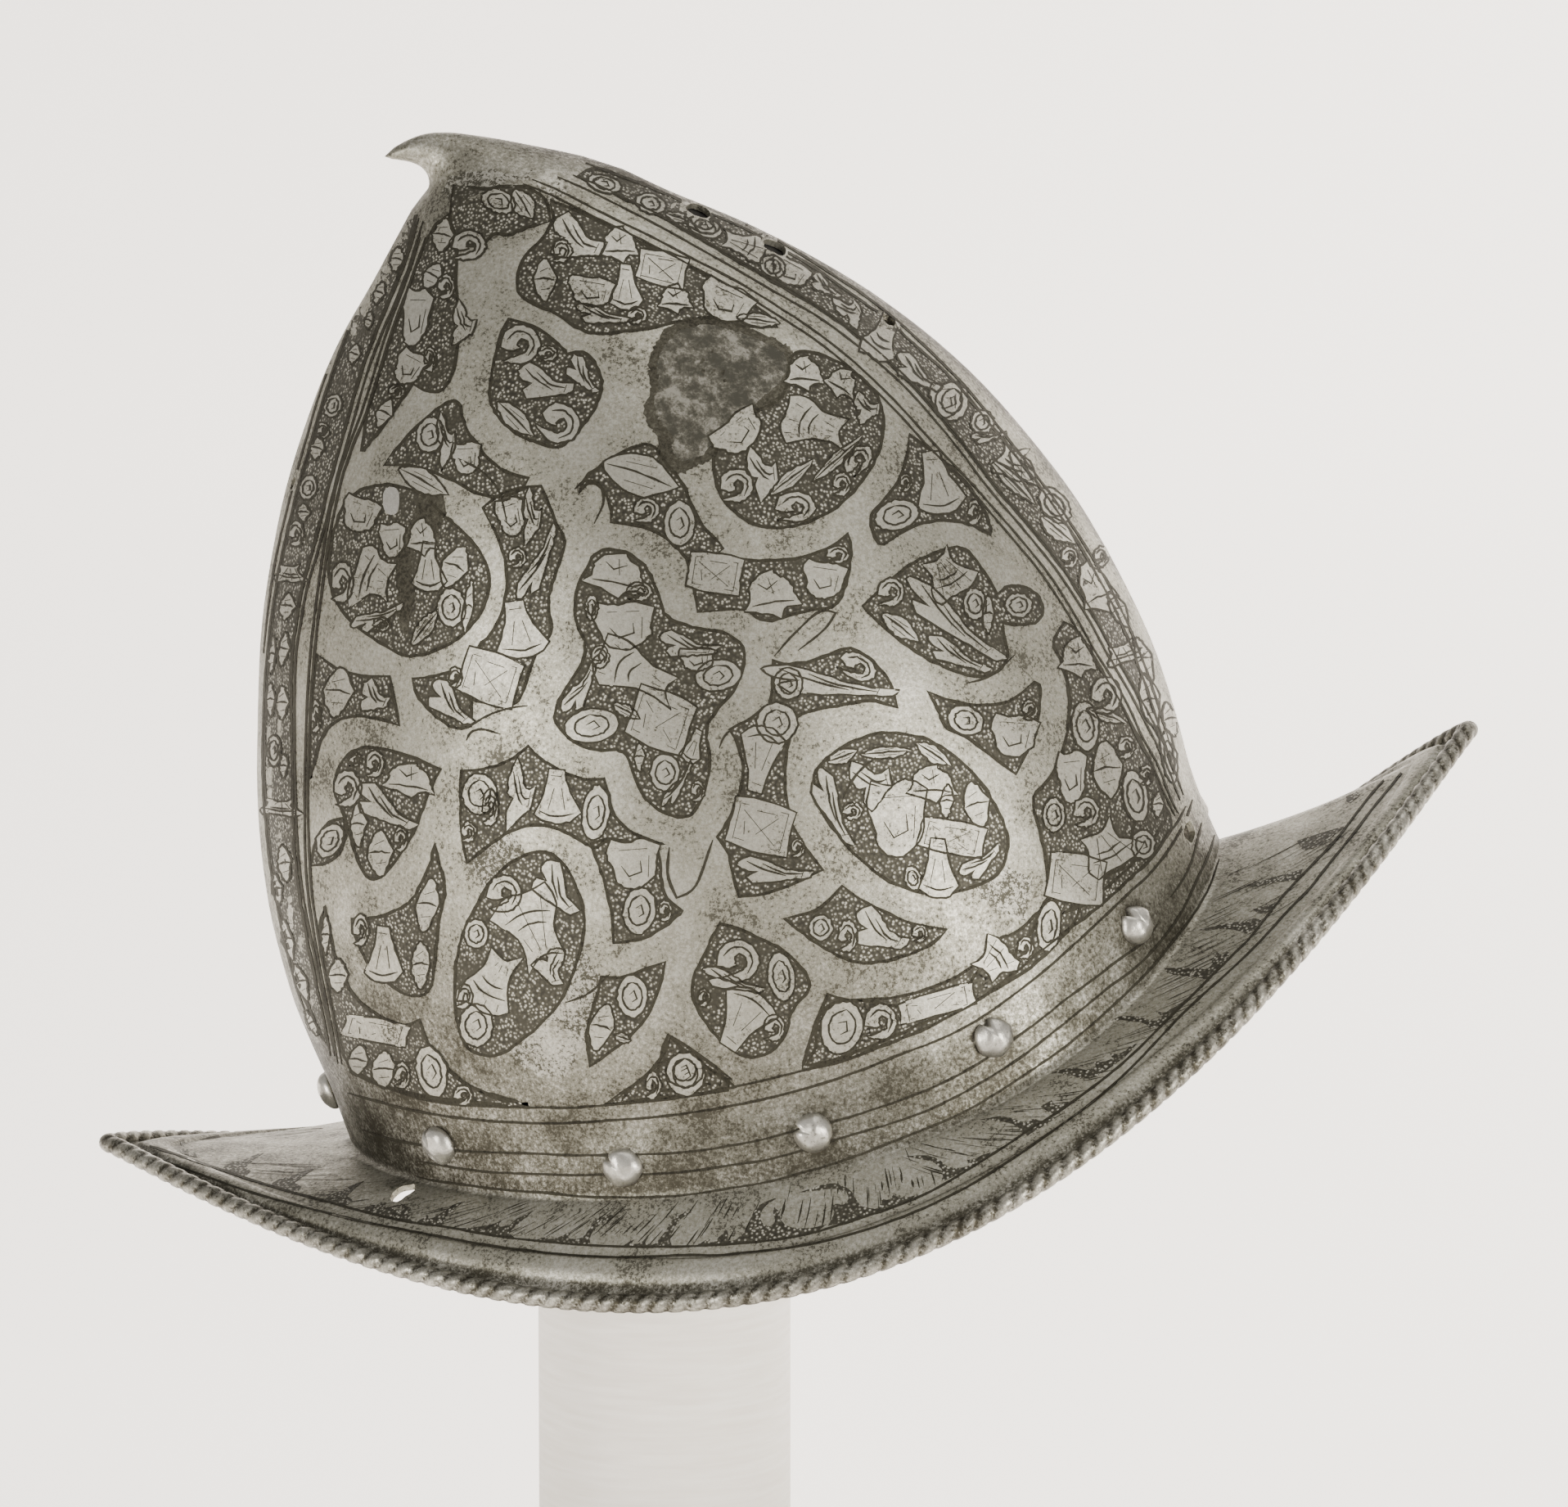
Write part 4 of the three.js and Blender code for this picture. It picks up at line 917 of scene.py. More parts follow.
# Long engraved lines, in the photo's own pixels: width, then the points
LINES = [
    # Borders of the band beside the ridge
    (2.3, "639,224 674,238 720,262 760,281 800,301 850,328 900,353 950,385 1000,417 1050,458 1100,507"
     " 1126,537 1154,566 1189,601 1208,624 1232,652 1273,700 1306,751 1333,800 1372,861 1388,901"
     " 1409,936 1427,980 1436,997"),
    (2.3, "650,219 680,231 720,252 760,272 800,291 850,318 900,343 950,374 1000,407 1050,447 1100,496"
     " 1130,530 1160,562 1195,599 1214,621 1238,648 1280,698 1313,750 1339,798 1378,858 1394,899"
     " 1415,933 1431,978 1440,994"),
    (2.3, "681,216 716,231 760,253 800,273 850,301 900,329 950,359 1000,386 1050,424 1100,466 1140,510"
     " 1175,553 1210,600 1240,634 1275,676 1296,703 1330,755 1353,800 1380,845 1409,900 1430,945"
     " 1442,978"),
    (2.3, "700,214 730,226 770,245 810,265 860,293 900,316 950,345 1000,373 1050,410 1100,453 1146,503"
     " 1182,547 1218,596 1247,628 1282,670 1302,697 1336,749 1359,794 1386,839 1415,894 1434,938"
     " 1446,971"),
    (2.9, "715,199 760,216 800,231 850,254 900,274 950,301 1000,330 1050,366 1085,390 1120,424 1160,458"
     " 1200,507 1240,556 1275,600 1312,655 1340,702 1366,752 1386,800 1404,850 1420,900 1437,950"),
    (2.9, "730,197 770,212 820,231 870,254 920,277 970,305 1020,337 1060,363 1100,395 1140,432 1180,472"
     " 1215,515 1250,560 1285,605 1322,660 1350,707 1375,755 1395,803 1412,852 1428,905"),
    # Borders of the band at the rear
    (2.9, "512,266 496,321 474,373 455,418 440,459 421,529 403,589 390,645 380,682 369,719 363,757"
     " 357,800 356,850 357,900 358,950 358,1000 361,1050 367,1100 376,1150 386,1200 397,1250"
     " 404,1290"),
    (2.9, "517,270 501,325 480,377 461,421 446,462 427,532 409,592 396,648 385,685 374,722 368,758"
     " 361,800 360,850 360,900 361,950 362,1000 365,1050 371,1100 381,1150 391,1200 402,1250"
     " 409,1290"),
    (3.1, "520,290 500,350 478,405 450,500 425,560 413,603 402,659 393,726 387,770 382,825 378,892"
     " 376,975 378,1050 382,1100 390,1150 399,1200 409,1250 418,1300"),
    (2.9, "514,290 494,350 472,405 444,500 420,560 408,603 397,659 388,726 382,770 377,825 374,892"
     " 372,975 373,1050 377,1100 385,1150 394,1200 404,1250 413,1300"),
    (2.6, "470,310 445,352 430,390 417,425 404,460 391,500 380,540 368,580 358,620 348,660 340,700"
     " 332,750 326,800 323,850 321,900 321,950 324,1000 329,1050 337,1100 348,1150 360,1200"
     " 375,1240"),
    (2.3, "464,308 439,350 424,388 411,423 398,458 385,498 374,538 362,578 352,618 342,658 334,698"
     " 327,748 322,798"),
    # Lines round the neck, from the ornament down to the crease
    (2.6, "425,1303 443,1318 480,1332 520,1344 547,1349 600,1352 633,1353 667,1353 693,1354 740,1350"
     " 767,1348 800,1345 840,1340 877,1332 930,1321 980,1308 1034,1296 1080,1277 1118,1262"
     " 1157,1244 1199,1220 1240,1190 1270,1163 1300,1140 1340,1110 1360,1093 1380,1073 1400,1057"
     " 1420,1030 1440,1003 1449,985"),
    (3, "425,1335 460,1345 500,1356 540,1363 580,1368 620,1371 680,1373 740,1369 800,1365 840,1360"
     " 880,1354 957,1338 1034,1315 1095,1290 1157,1267 1199,1244 1242,1213 1275,1187 1300,1165"
     " 1320,1147 1360,1110 1380,1090 1400,1073 1420,1050 1440,1020 1450,1000 1457,977"),
    (3, "443,1380 480,1393 510,1398 567,1407 607,1408 653,1409 700,1412 727,1411 787,1410 820,1409"
     " 863,1405 900,1398 926,1394 972,1381 1018,1371 1072,1354 1118,1338 1157,1321 1199,1298"
     " 1245,1265 1272,1246 1299,1223 1342,1192 1367,1172 1400,1150 1415,1128"),
    (3, "510,1418 553,1426 587,1431 613,1433 653,1434 700,1436 733,1435 787,1435 823,1433 867,1428"
     " 900,1422 930,1419 980,1406 1034,1388 1088,1373 1126,1360 1165,1342 1195,1325 1226,1306"
     " 1257,1285 1288,1260 1322,1233 1357,1204 1387,1184 1417,1152 1436,1127 1450,1103 1463,1073"
     " 1477,1045 1484,1020"),
    (2.4, "1430,1096 1447,1073 1457,1050 1463,1028 1468,1005"),
    (3, "510,1437 533,1443 567,1447 600,1452 633,1455 680,1458 707,1462 767,1463 820,1462 860,1457"
     " 900,1450 930,1446 980,1433 1034,1417 1088,1396 1126,1381 1165,1365 1195,1350 1234,1325"
     " 1272,1300 1299,1281 1340,1247 1380,1210 1410,1180 1433,1150 1457,1120 1477,1087 1490,1050"),
    # Where the straps cross and end
    (3, "946,802 968,776 1003,743 1021,749 1008,770 975,795"),
    (3.4, "818,1035 814,1070 827,1097 849,1088 862,1053 871,1026"),
    (3, "612,897 590,890 575,893 570,905"), (3, "645,862 620,865 590,876 572,890"),
    (3, "702,598 714,586 732,588 740,612 726,640"), (3, "895,890 884,900 879,914"),
    (3, "1070,925 1045,945 1030,975"), (3, "560,560 590,575 612,600 620,640"),
    (3, "1180,835 1210,828 1240,800"), (3, "690,1225 720,1215 745,1190"),
    # The double line along the raised band of the brim
    (2.6, "170,1396 220,1412 280,1433 340,1452 400,1468 453,1483 510,1495 547,1499 587,1507 627,1513"
     " 667,1517 700,1520 733,1522 783,1524 833,1523 880,1521 930,1517 980,1510 1018,1499 1061,1485"
     " 1103,1471 1142,1454 1199,1419 1226,1402 1253,1383 1288,1362 1322,1338 1357,1312 1388,1285"
     " 1418,1254 1449,1224 1480,1193 1500,1173 1527,1147 1550,1117 1573,1088 1600,1060 1627,1033"
     " 1640,1017 1660,990 1680,965 1700,944 1720,925"),
    (2.6, "170,1407 240,1433 300,1455 360,1472 400,1482 440,1492 480,1500 520,1507 560,1515 600,1522"
     " 640,1527 680,1532 720,1535 760,1536 800,1535 840,1533 880,1534 920,1529 957,1526 1011,1516"
     " 1061,1502 1111,1484 1157,1463 1195,1443 1234,1418 1265,1397 1303,1370 1342,1342 1380,1307"
     " 1407,1279 1440,1243 1480,1206 1513,1177 1547,1143 1573,1113 1600,1087 1620,1060 1653,1020"
     " 1673,993 1700,960 1720,935 1745,913"),
]

# Shapes of the trophies on a square from -1 to 1, y down: outline, then lines
SHAPES = {
    "oval": ("0,-1 0.7,-0.7 1,0 0.7,0.7 0,1 -0.7,0.7 -1,0 -0.7,-0.7",
             ["0,-0.62 0.44,-0.44 0.62,0 0.44,0.44 0,0.62 -0.44,0.44 -0.62,0 -0.44,-0.44 0,-0.62",
              "-0.2,-0.1 0.1,-0.25 0.25,0.1 0,0.25"]),
    "shield": ("-0.8,-0.9 -0.2,-0.75 0.3,-1 1,-0.7 0.85,-0.1 0.9,0.4 0.4,0.9 -0.1,1 -0.6,0.75"
               " -0.7,0.2 -1,-0.3",
               ["-0.5,-0.5 0.5,-0.55", "-0.4,0.1 -0.1,0.5 0.35,0.3 0.3,-0.1", "0.6,-0.3 0.55,0.5"]),
    "drum": ("-0.9,-0.95 0.1,-1 1,-0.75 0.92,0.1 0.95,0.95 0,1 -1,0.7 -0.93,-0.1",
             ["-0.72,-0.7 -0.78,0.6", "-0.7,-0.72 0.78,-0.6", "0.76,-0.6 0.7,0.75",
              "-0.75,0.55 0.7,0.78", "-0.6,-0.5 0.5,0.6", "0.5,-0.4 -0.1,0.3",
              "-0.5,-0.1 -0.45,0.4", "-0.2,-0.55 0.4,-0.5"]),
    "bell": ("-0.35,-1 0.3,-0.95 0.45,-0.3 1,0.6 0.5,1 -0.4,0.98 -1,0.65 -0.5,-0.2",
             ["-0.25,-0.75 0.2,-0.7", "-0.75,0.55 0,0.78 0.7,0.6", "-0.15,-0.3 -0.4,0.5",
              "0.15,-0.3 0.3,0.5"]),
    "horn": ("-1,-0.5 -0.6,-1 -0.1,-0.7 0.3,-0.15 1,-0.3 0.92,0.35 0.5,0.5 0,0.8 -0.5,1"
             " -0.75,0.5 -0.4,0.1 -0.8,0.1",
             ["-0.7,-0.6 -0.2,0 0.3,0.25", "-0.3,-0.5 0.2,0.1 0.7,0.05", "0.72,-0.15 0.68,0.3"]),
    "curl": ("-0.9,0.2 -0.8,-0.6 -0.1,-1 0.6,-0.8 1,-0.1 0.85,0.5 0.3,1 -0.4,0.95 -0.8,0.8"
             " -0.2,0.6 0.3,0.4 0.4,-0.1 0.05,-0.3 -0.15,0 0,0.25 -0.4,0.4",
             ["-0.6,-0.2 -0.2,-0.65 0.4,-0.55 0.7,0 0.4,0.6"]),
    "leaf": ("-1,0.1 -0.6,-0.6 0,-1 0.5,-0.7 1,-0.1 0.6,0.5 0.1,1 -0.5,0.7",
             ["-0.8,0 0,-0.1 0.8,0", "-0.4,-0.35 0.3,-0.5", "-0.3,0.4 0.4,0.35"]),
    "fan": ("-1,-0.5 -0.2,-0.35 0.6,-1 1,-0.5 0.9,0.2 1,0.7 0.5,0.9 -0.1,0.5 -0.8,0.6 -0.6,0",
            ["-0.5,-0.2 0.75,-0.6", "-0.5,0 0.8,-0.15", "-0.5,0.15 0.75,0.5", "0.35,-0.65 0.5,0 0.3,0.6",
             "0.1,-0.4 0.2,0 0.05,0.4"]),
    "helm": ("-1,0.5 -0.7,0.1 -0.75,-0.4 -0.3,-0.9 0.2,-1 0.25,-0.75 0.7,-0.5 0.8,0.1 1,0.6"
             " 0.4,0.55 0.2,1 -0.3,0.7",
             ["-0.7,0.35 0,0.3 0.75,0.4", "-0.4,-0.5 -0.1,-0.2 0.3,-0.5", "0,-0.7 0.1,0"]),
}

# How high the layers of ornament lie, in mm above the plate. The two kinds of
# line lie this much above the layer they are drawn on.
PITTED_RISE = 0.02
BARE_RISE = 0.09
GROUND_RISE = 0.07
TROPHY_RISE = 0.12
EDGE_RISE = 0.02
LINE_RISE = 0.06

# Shares of a trophy's size or of a stroke's width
TROPHY_SWELL = 1.16
EDGE_UNEVEN = 0.5
TAPERED = 0.35

# Widths of strokes, in photo pixels
GROUND_EDGE = 4.0
TROPHY_EDGE = 2.7
TROPHY_LINE = 2.5

# How far drawn points stray and how wide the net is that cuts them, in photo pixels
LINE_UNEVEN = 0.5
GROUND_UNEVEN = 1.6
TROPHY_UNEVEN = 2.2
MARK_UNEVEN = 1.5
LEAF_UNEVEN = 1.0
PITTED_UNEVEN = 12
BARE_UNEVEN = 4
CUT_PIXELS = 13


def read_points(text):
    return [Vector((*map(float, pair.split(",")), 0)) for pair in text.split()]


def rounded(points, closed=True, rounds=2, sharp=math.radians(72)):
    """Rounds an outline by cutting its corners, but keeps its sharp cusps."""
    for _ in range(rounds):
        result = []
        count = len(points)
        for index, point in enumerate(points):
            if not closed and index in (0, count - 1):
                result.append(point)
                continue
            before = points[index - 1]
            after = points[(index + 1) % count]
            if (point - before).angle(after - point, 0) > sharp:
                result.append(point)
            else:
                result += [point.lerp(before, 0.25), point.lerp(after, 0.25)]
        points = result
    return points


def in_photo(detail, point):
    corner_x, corner_y, enlarged = DETAILS[detail]
    return Vector((corner_x + point.x / enlarged, corner_y + point.y / enlarged, 0))


def roughened(point, amount):
    """The etcher's brush leaves an uneven edge."""
    spot = point * 0.31
    return point + amount * Vector((noise.noise(spot), noise.noise(spot + Vector((9, 4, 0))), 0))


def add_flat(mesh, points):
    """A filled outline, flat in the photo's pixels."""
    verts = [mesh.verts.new(point) for point in points]
    edges = [mesh.edges.new((verts[i - 1], verts[i])) for i in range(len(verts))]
    bmesh.ops.triangle_fill(mesh, edges=edges, use_beauty=True)


def add_stroke(mesh, points, width, closed=False):
    """A flat line of even width, closed on itself or tapered at both ends."""
    last = None
    if closed:
        points = [points[-1]] + points + [points[0], points[1]]
    count = len(points) - 1
    for index, point in enumerate(points):
        ahead = (points[min(index + 1, count)] - points[max(index - 1, 0)]).normalized()
        if closed and index in (0, count):
            continue
        taper = TAPERED if index in (0, count) else 1 + EDGE_UNEVEN * noise.noise(point * 0.23)
        across = Vector((-ahead.y, ahead.x, 0)) * width / 2 * taper
        pair = (mesh.verts.new(point - across), mesh.verts.new(point + across))
        if last:
            mesh.faces.new((last[0], last[1], pair[1], pair[0]))
        last = pair


def cut_fine(mesh, step):
    """Cuts a flat mesh along a square net, so that it can follow the plate."""
    for axis in (0, 1):
        low = min(vert.co[axis] for vert in mesh.verts)
        high = max(vert.co[axis] for vert in mesh.verts)
        normal = Vector((1, 0, 0)) if axis == 0 else Vector((0, 1, 0))
        place_at = low + step
        while place_at < high:
            geometry = mesh.verts[:] + mesh.edges[:] + mesh.faces[:]
            bmesh.ops.bisect_plane(mesh, geom=geometry, dist=0.01,
                                   plane_co=normal * place_at, plane_no=normal)
            place_at += step


def shown_by_pixel(flat):
    """Where a charted place of the photo lies on the near side of the plate."""
    found = on_plate(flat.x, flat.y)
    return None if found is None or found.y > -1 else found


def wrap_on_plate(mesh, rise, place_of=shown_by_pixel, mirrored=True, walls=True, sunk=0.1):
    """Lays a flat mesh on the plate, with walls down to it, open where the plate
    has a hole, and mirrors it to the far side."""
    bmesh.ops.recalc_face_normals(mesh, faces=mesh.faces)
    missed = []
    normals = {}
    for vert in mesh.verts:
        found = place_of(vert.co)
        if found is None or any((found - hole).length < reach for hole, reach in HOLE_PLACES):
            missed.append(vert)
            continue
        spot, normals[vert], _, _ = plate_tree.find_nearest(found)
        vert.co = spot + normals[vert] * rise
    bmesh.ops.delete(mesh, geom=missed, context="VERTS")
    loose = [vert for vert in mesh.verts if not vert.link_faces]
    bmesh.ops.delete(mesh, geom=loose, context="VERTS")
    for face in mesh.faces:
        face.normal_update()
        if face.normal.dot(normals[face.verts[0]]) < 0:
            face.normal_flip()
    border = [edge for edge in mesh.edges if edge.is_boundary] if walls else []
    for edge in border:
        edge.smooth = False
    made = bmesh.ops.extrude_edge_only(mesh, edges=border)["geom"]
    for vert in made:
        if isinstance(vert, bmesh.types.BMVert):
            nearest = plate_tree.find_nearest(vert.co)
            vert.co = nearest[0] - nearest[1] * sunk
    if not mirrored:
        return mesh
    twin = mesh.copy()
    for vert in twin.verts:
        vert.co.y = -vert.co.y
    bmesh.ops.reverse_faces(twin, faces=twin.faces)
    join_mesh(mesh, twin)
    return mesh


def build_grounds():
    mesh = bmesh.new()
    edges = bmesh.new()
    for detail, outlines in GROUNDS.items():
        for text in outlines:
            drawn = [in_photo(detail, p) for p in rounded(read_points(text))]
            points = [roughened(p, GROUND_UNEVEN) for p in drawn]
            add_flat(mesh, points)
            add_stroke(edges, points, GROUND_EDGE, closed=True)
    cut_fine(mesh, CUT_PIXELS)
    make_piece("etched_grounds", wrap_on_plate(mesh, GROUND_RISE), "helmet_shell", ground_steel)
    wrapped = wrap_on_plate(edges, GROUND_RISE + EDGE_RISE, walls=False)
    make_piece("ground_edges", wrapped, "helmet_shell", line_steel)


def trophy_point(detail, row, point):
    """Where a point of a trophy's shape lies in the photo."""
    _, x, y, half_width, half_height, turn = row
    spin = math.radians(turn)
    wide = point.x * half_width * TROPHY_SWELL
    tall = point.y * half_height * TROPHY_SWELL
    return in_photo(detail, Vector((x + wide * math.cos(spin) - tall * math.sin(spin),
                                    y + wide * math.sin(spin) + tall * math.cos(spin), 0)))


def build_trophies():
    raised = bmesh.new()
    engraved = bmesh.new()
    edges = bmesh.new()
    for detail, rows in TROPHIES.items():
        for row in rows:
            outline, lines = SHAPES[row[0]]
            drawn = [trophy_point(detail, row, p) for p in rounded(read_points(outline))]
            points = [roughened(p, TROPHY_UNEVEN) for p in drawn]
            add_flat(raised, points)
            add_stroke(edges, points, TROPHY_EDGE, closed=True)
            for line in lines:
                mark = rounded(read_points(line), closed=False)
                inner = [trophy_point(detail, row, p) for p in mark]
                add_stroke(engraved, [roughened(p, MARK_UNEVEN) for p in inner], TROPHY_LINE)
    cut_fine(raised, CUT_PIXELS)
    make_piece("etched_trophies", wrap_on_plate(raised, TROPHY_RISE), "helmet_shell", strap_steel)
    wrapped = wrap_on_plate(engraved, TROPHY_RISE + LINE_RISE, walls=False)
    make_piece("trophy_lines", wrapped, "helmet_shell", line_steel)
    wrapped = wrap_on_plate(edges, TROPHY_RISE + EDGE_RISE, walls=False)
    make_piece("trophy_edges", wrapped, "helmet_shell", line_steel)


def build_long_lines():
    mesh = bmesh.new()
    for width, text in LINES:
        points = rounded(read_points(text), closed=False)
        add_stroke(mesh, [roughened(p, LINE_UNEVEN) for p in points], width)
    cut_fine(mesh, CUT_PIXELS)
    wrapped = wrap_on_plate(mesh, LINE_RISE + GROUND_RISE)
    make_piece("border_lines", wrapped, "helmet_shell", line_steel)


# Places where rust has eaten the etching away, with a dark edge and a paler
# middle, places that are only pitted, and one pale fleck
BARE_PLACES = {
    "front": [
        "-60,120 -20,60 60,30 160,15 250,40 340,85 430,120 470,170 455,250 440,320 370,370 290,385"
        " 240,430 200,480 160,560 100,580 30,620 -20,600 -60,530 -40,480 -90,430 -110,360 -70,300"
        " -90,210",
    ],
    "rear": [
        "430,130 520,130 530,210 500,260 510,300 480,350 430,300 400,340 400,420 420,500 400,560"
        " 390,650 360,640 350,520 340,400 350,320 400,240",
    ],
}
PALER_PLACES = {
    "front": [
        "-10,110 60,60 160,50 250,75 340,115 415,150 440,200 420,260 340,330 270,370 220,430"
        " 170,490 110,550 40,570 0,520 10,470 -40,420 -70,340 -40,280 -60,200",
    ],
}
PITTED_PLACES = {
    "whole": [
        "545,215 620,205 700,220 690,250 640,265 600,300 570,290 550,250",
        "610,1140 700,1150 740,1200 720,1270 690,1320 640,1310 610,1260 630,1200",
        "560,1000 620,990 650,1040 620,1090 580,1080", "1180,1040 1260,1070 1250,1120 1200,1110",
    ],
}
PALE_FLECK = "300,120 320,104 345,108 358,130 356,180 348,205 320,210 300,190 296,150"


def add_places(name, places, rise, material, ragged):
    mesh = bmesh.new()
    for detail, outlines in places.items():
        for text in outlines:
            points = [in_photo(detail, p) for p in rounded(read_points(text), rounds=3)]
            add_flat(mesh, [roughened(p, ragged) for p in points])
    cut_fine(mesh, CUT_PIXELS)
    make_piece(name, wrap_on_plate(mesh, rise), "helmet_shell", material)


def build_bare_places():
    add_places("pitted_places", PITTED_PLACES, PITTED_RISE, pitted_steel, PITTED_UNEVEN)
    add_places("bare_places", BARE_PLACES, BARE_RISE, dark_steel, BARE_UNEVEN)
    add_places("paler_middles", PALER_PLACES, BARE_RISE + PITTED_RISE, bare_steel, BARE_UNEVEN)
    fleck = bmesh.new()
    add_flat(fleck, [in_photo("rear", p) for p in rounded(read_points(PALE_FLECK))])
    cut_fine(fleck, CUT_PIXELS)
    wrap_on_plate(fleck, TROPHY_RISE + LINE_RISE, mirrored=False)
    make_piece("pale_fleck", fleck, "helmet_shell", rivet_steel)


# The dark grounds between the leaves of the brim, in the photo's own pixels
LEAF_GROUNDS = [
    "215,1407 226,1402 240,1400 255,1396 243,1402 238,1408 242,1414 228,1411",
    "270,1428 282,1421 296,1418 312,1411 322,1409 308,1418 300,1426 306,1430 300,1438 285,1433",
    "330,1447 342,1440 355,1437 372,1430 385,1427 370,1437 360,1445 368,1450 362,1458 345,1452",
    "395,1467 405,1459 418,1455 430,1448 445,1443 432,1453 424,1461 430,1466 424,1474 405,1469",
    "440,1478 452,1473 463,1472 476,1459 470,1473 482,1477 492,1480 489,1470 503,1476 497,1483"
    " 505,1494 480,1489 460,1484",
    "500,1494 515,1490 522,1484 526,1490 535,1485 545,1478 556,1471 568,1467 556,1476 545,1486"
    " 540,1498 520,1496",
    "560,1501 575,1500 590,1498 605,1495 612,1491 611,1499 622,1497 630,1490 640,1485 652,1479"
    " 641,1489 631,1497 622,1506 630,1513 600,1509 575,1504",
    "650,1516 660,1513 672,1510 668,1514 682,1512 690,1508 698,1505 694,1513 706,1514 714,1510"
    " 720,1502 724,1496 733,1489 744,1484 752,1485 738,1492 727,1502 720,1511 722,1521 690,1519",
    "760,1523 768,1518 775,1514 771,1520 783,1519 792,1511 788,1519 800,1521 806,1513 812,1506"
    " 816,1498 822,1490 832,1483 847,1479 833,1488 826,1496 822,1505 818,1514 822,1523 790,1524",
    "850,1522 858,1517 868,1514 864,1518 874,1517 880,1510 888,1503 890,1510 886,1516 898,1516"
    " 905,1510 912,1504 916,1495 918,1486 923,1478 930,1471 940,1466 950,1463 938,1471 931,1479"
    " 929,1488 932,1496 942,1499 948,1492 944,1482 946,1475 952,1480 954,1490 960,1497 975,1501"
    " 995,1500 1010,1495 1000,1504 985,1509 960,1513 930,1517 890,1520",
    "975,1457 990,1452 1005,1447 1018,1445 1030,1448 1040,1454 1045,1462 1050,1472 1060,1476"
    " 1072,1477 1078,1470 1076,1463 1086,1467 1092,1460 1098,1463 1108,1463 1122,1459 1105,1470"
    " 1080,1478 1060,1485 1035,1492 1012,1498 1016,1490 1020,1482 1017,1474 1023,1470 1030,1473"
    " 1037,1466 1036,1458 1026,1452 1010,1452",
    "1108,1413 1125,1411 1140,1413 1149,1417 1154,1423 1163,1427 1175,1427 1185,1424 1182,1417"
    " 1192,1416 1200,1411 1214,1407 1205,1414 1190,1424 1172,1433 1158,1441 1150,1443 1153,1434"
    " 1149,1426 1140,1419 1125,1416",
    "1198,1368 1215,1364 1232,1365 1245,1369 1255,1373 1262,1366 1272,1370 1282,1368 1298,1361"
    " 1288,1367 1275,1376 1262,1384 1254,1388 1247,1381 1242,1374 1225,1370",
    "1272,1352 1285,1344 1290,1351 1300,1349 1310,1345 1320,1339 1302,1355 1288,1363",
    "1285,1311 1303,1305 1318,1305 1330,1308 1340,1304 1336,1297 1348,1298 1360,1293 1356,1287"
    " 1368,1288 1378,1281 1390,1274 1380,1287 1362,1301 1348,1310 1335,1318 1318,1317 1306,1312",
    "1358,1246 1370,1241 1385,1241 1400,1245 1412,1248 1420,1243 1412,1235 1424,1238 1432,1232"
    " 1440,1228 1449,1221 1436,1236 1422,1249 1410,1257 1402,1252 1392,1248 1375,1247",
    "1423,1183 1450,1182 1467,1183 1474,1185 1482,1177 1477,1172 1484,1170 1487,1163 1494,1168"
    " 1501,1161 1503,1168 1490,1184 1477,1197 1467,1195 1450,1192 1427,1190",
    "1464,1136 1487,1131 1507,1127 1523,1125 1534,1121 1541,1125 1531,1138 1523,1140 1513,1137"
    " 1497,1134 1480,1136",
    "1531,1111 1547,1107 1559,1103 1549,1116 1538,1116",
    "1518,1083 1540,1077 1560,1070 1577,1067 1592,1061 1588,1074 1573,1076 1553,1078 1537,1083",
    "1585,1028 1600,1022 1620,1016 1633,1012 1644,1009 1620,1028 1607,1036 1593,1039 1588,1033",
    "1640,975 1655,969 1668,962 1660,974 1650,982",
]
HATCH_SEED = 5
HATCH_PITCH = 1.5
HATCH_CLEAR = 12
HATCH_LEAN = 9
HATCH_NARROW = 0.2
HATCH_WIDE = 0.55
BRIM_UNITS = 20
LEAVES_MEET = math.radians(80)
BAND_MIDDLE = -0.15


def band_lengths():
    """Angles a millimetre apart along the brim, just inside its band."""
    angles = [0.0]
    fine = 4000
    last = band_point(0, BAND_MIDDLE, 0)
    travelled = 0
    for step in range(1, fine + 1):
        angle = step / fine * math.pi
        point = band_point(angle, BAND_MIDDLE, 0)
        travelled += (point - last).length
        last = point
        while travelled >= len(angles):
            angles.append(angle)
    return angles


def build_leaf_grounds():
    mesh = bmesh.new()
    for text in LEAF_GROUNDS:
        points = rounded(read_points(text), rounds=1)
        add_flat(mesh, [roughened(p, LEAF_UNEVEN) for p in points])
    cut_fine(mesh, CUT_PIXELS)
    wrapped = wrap_on_plate(mesh, GROUND_RISE)
    make_piece("leaf_grounds", wrapped, "helmet_shell", ground_steel)


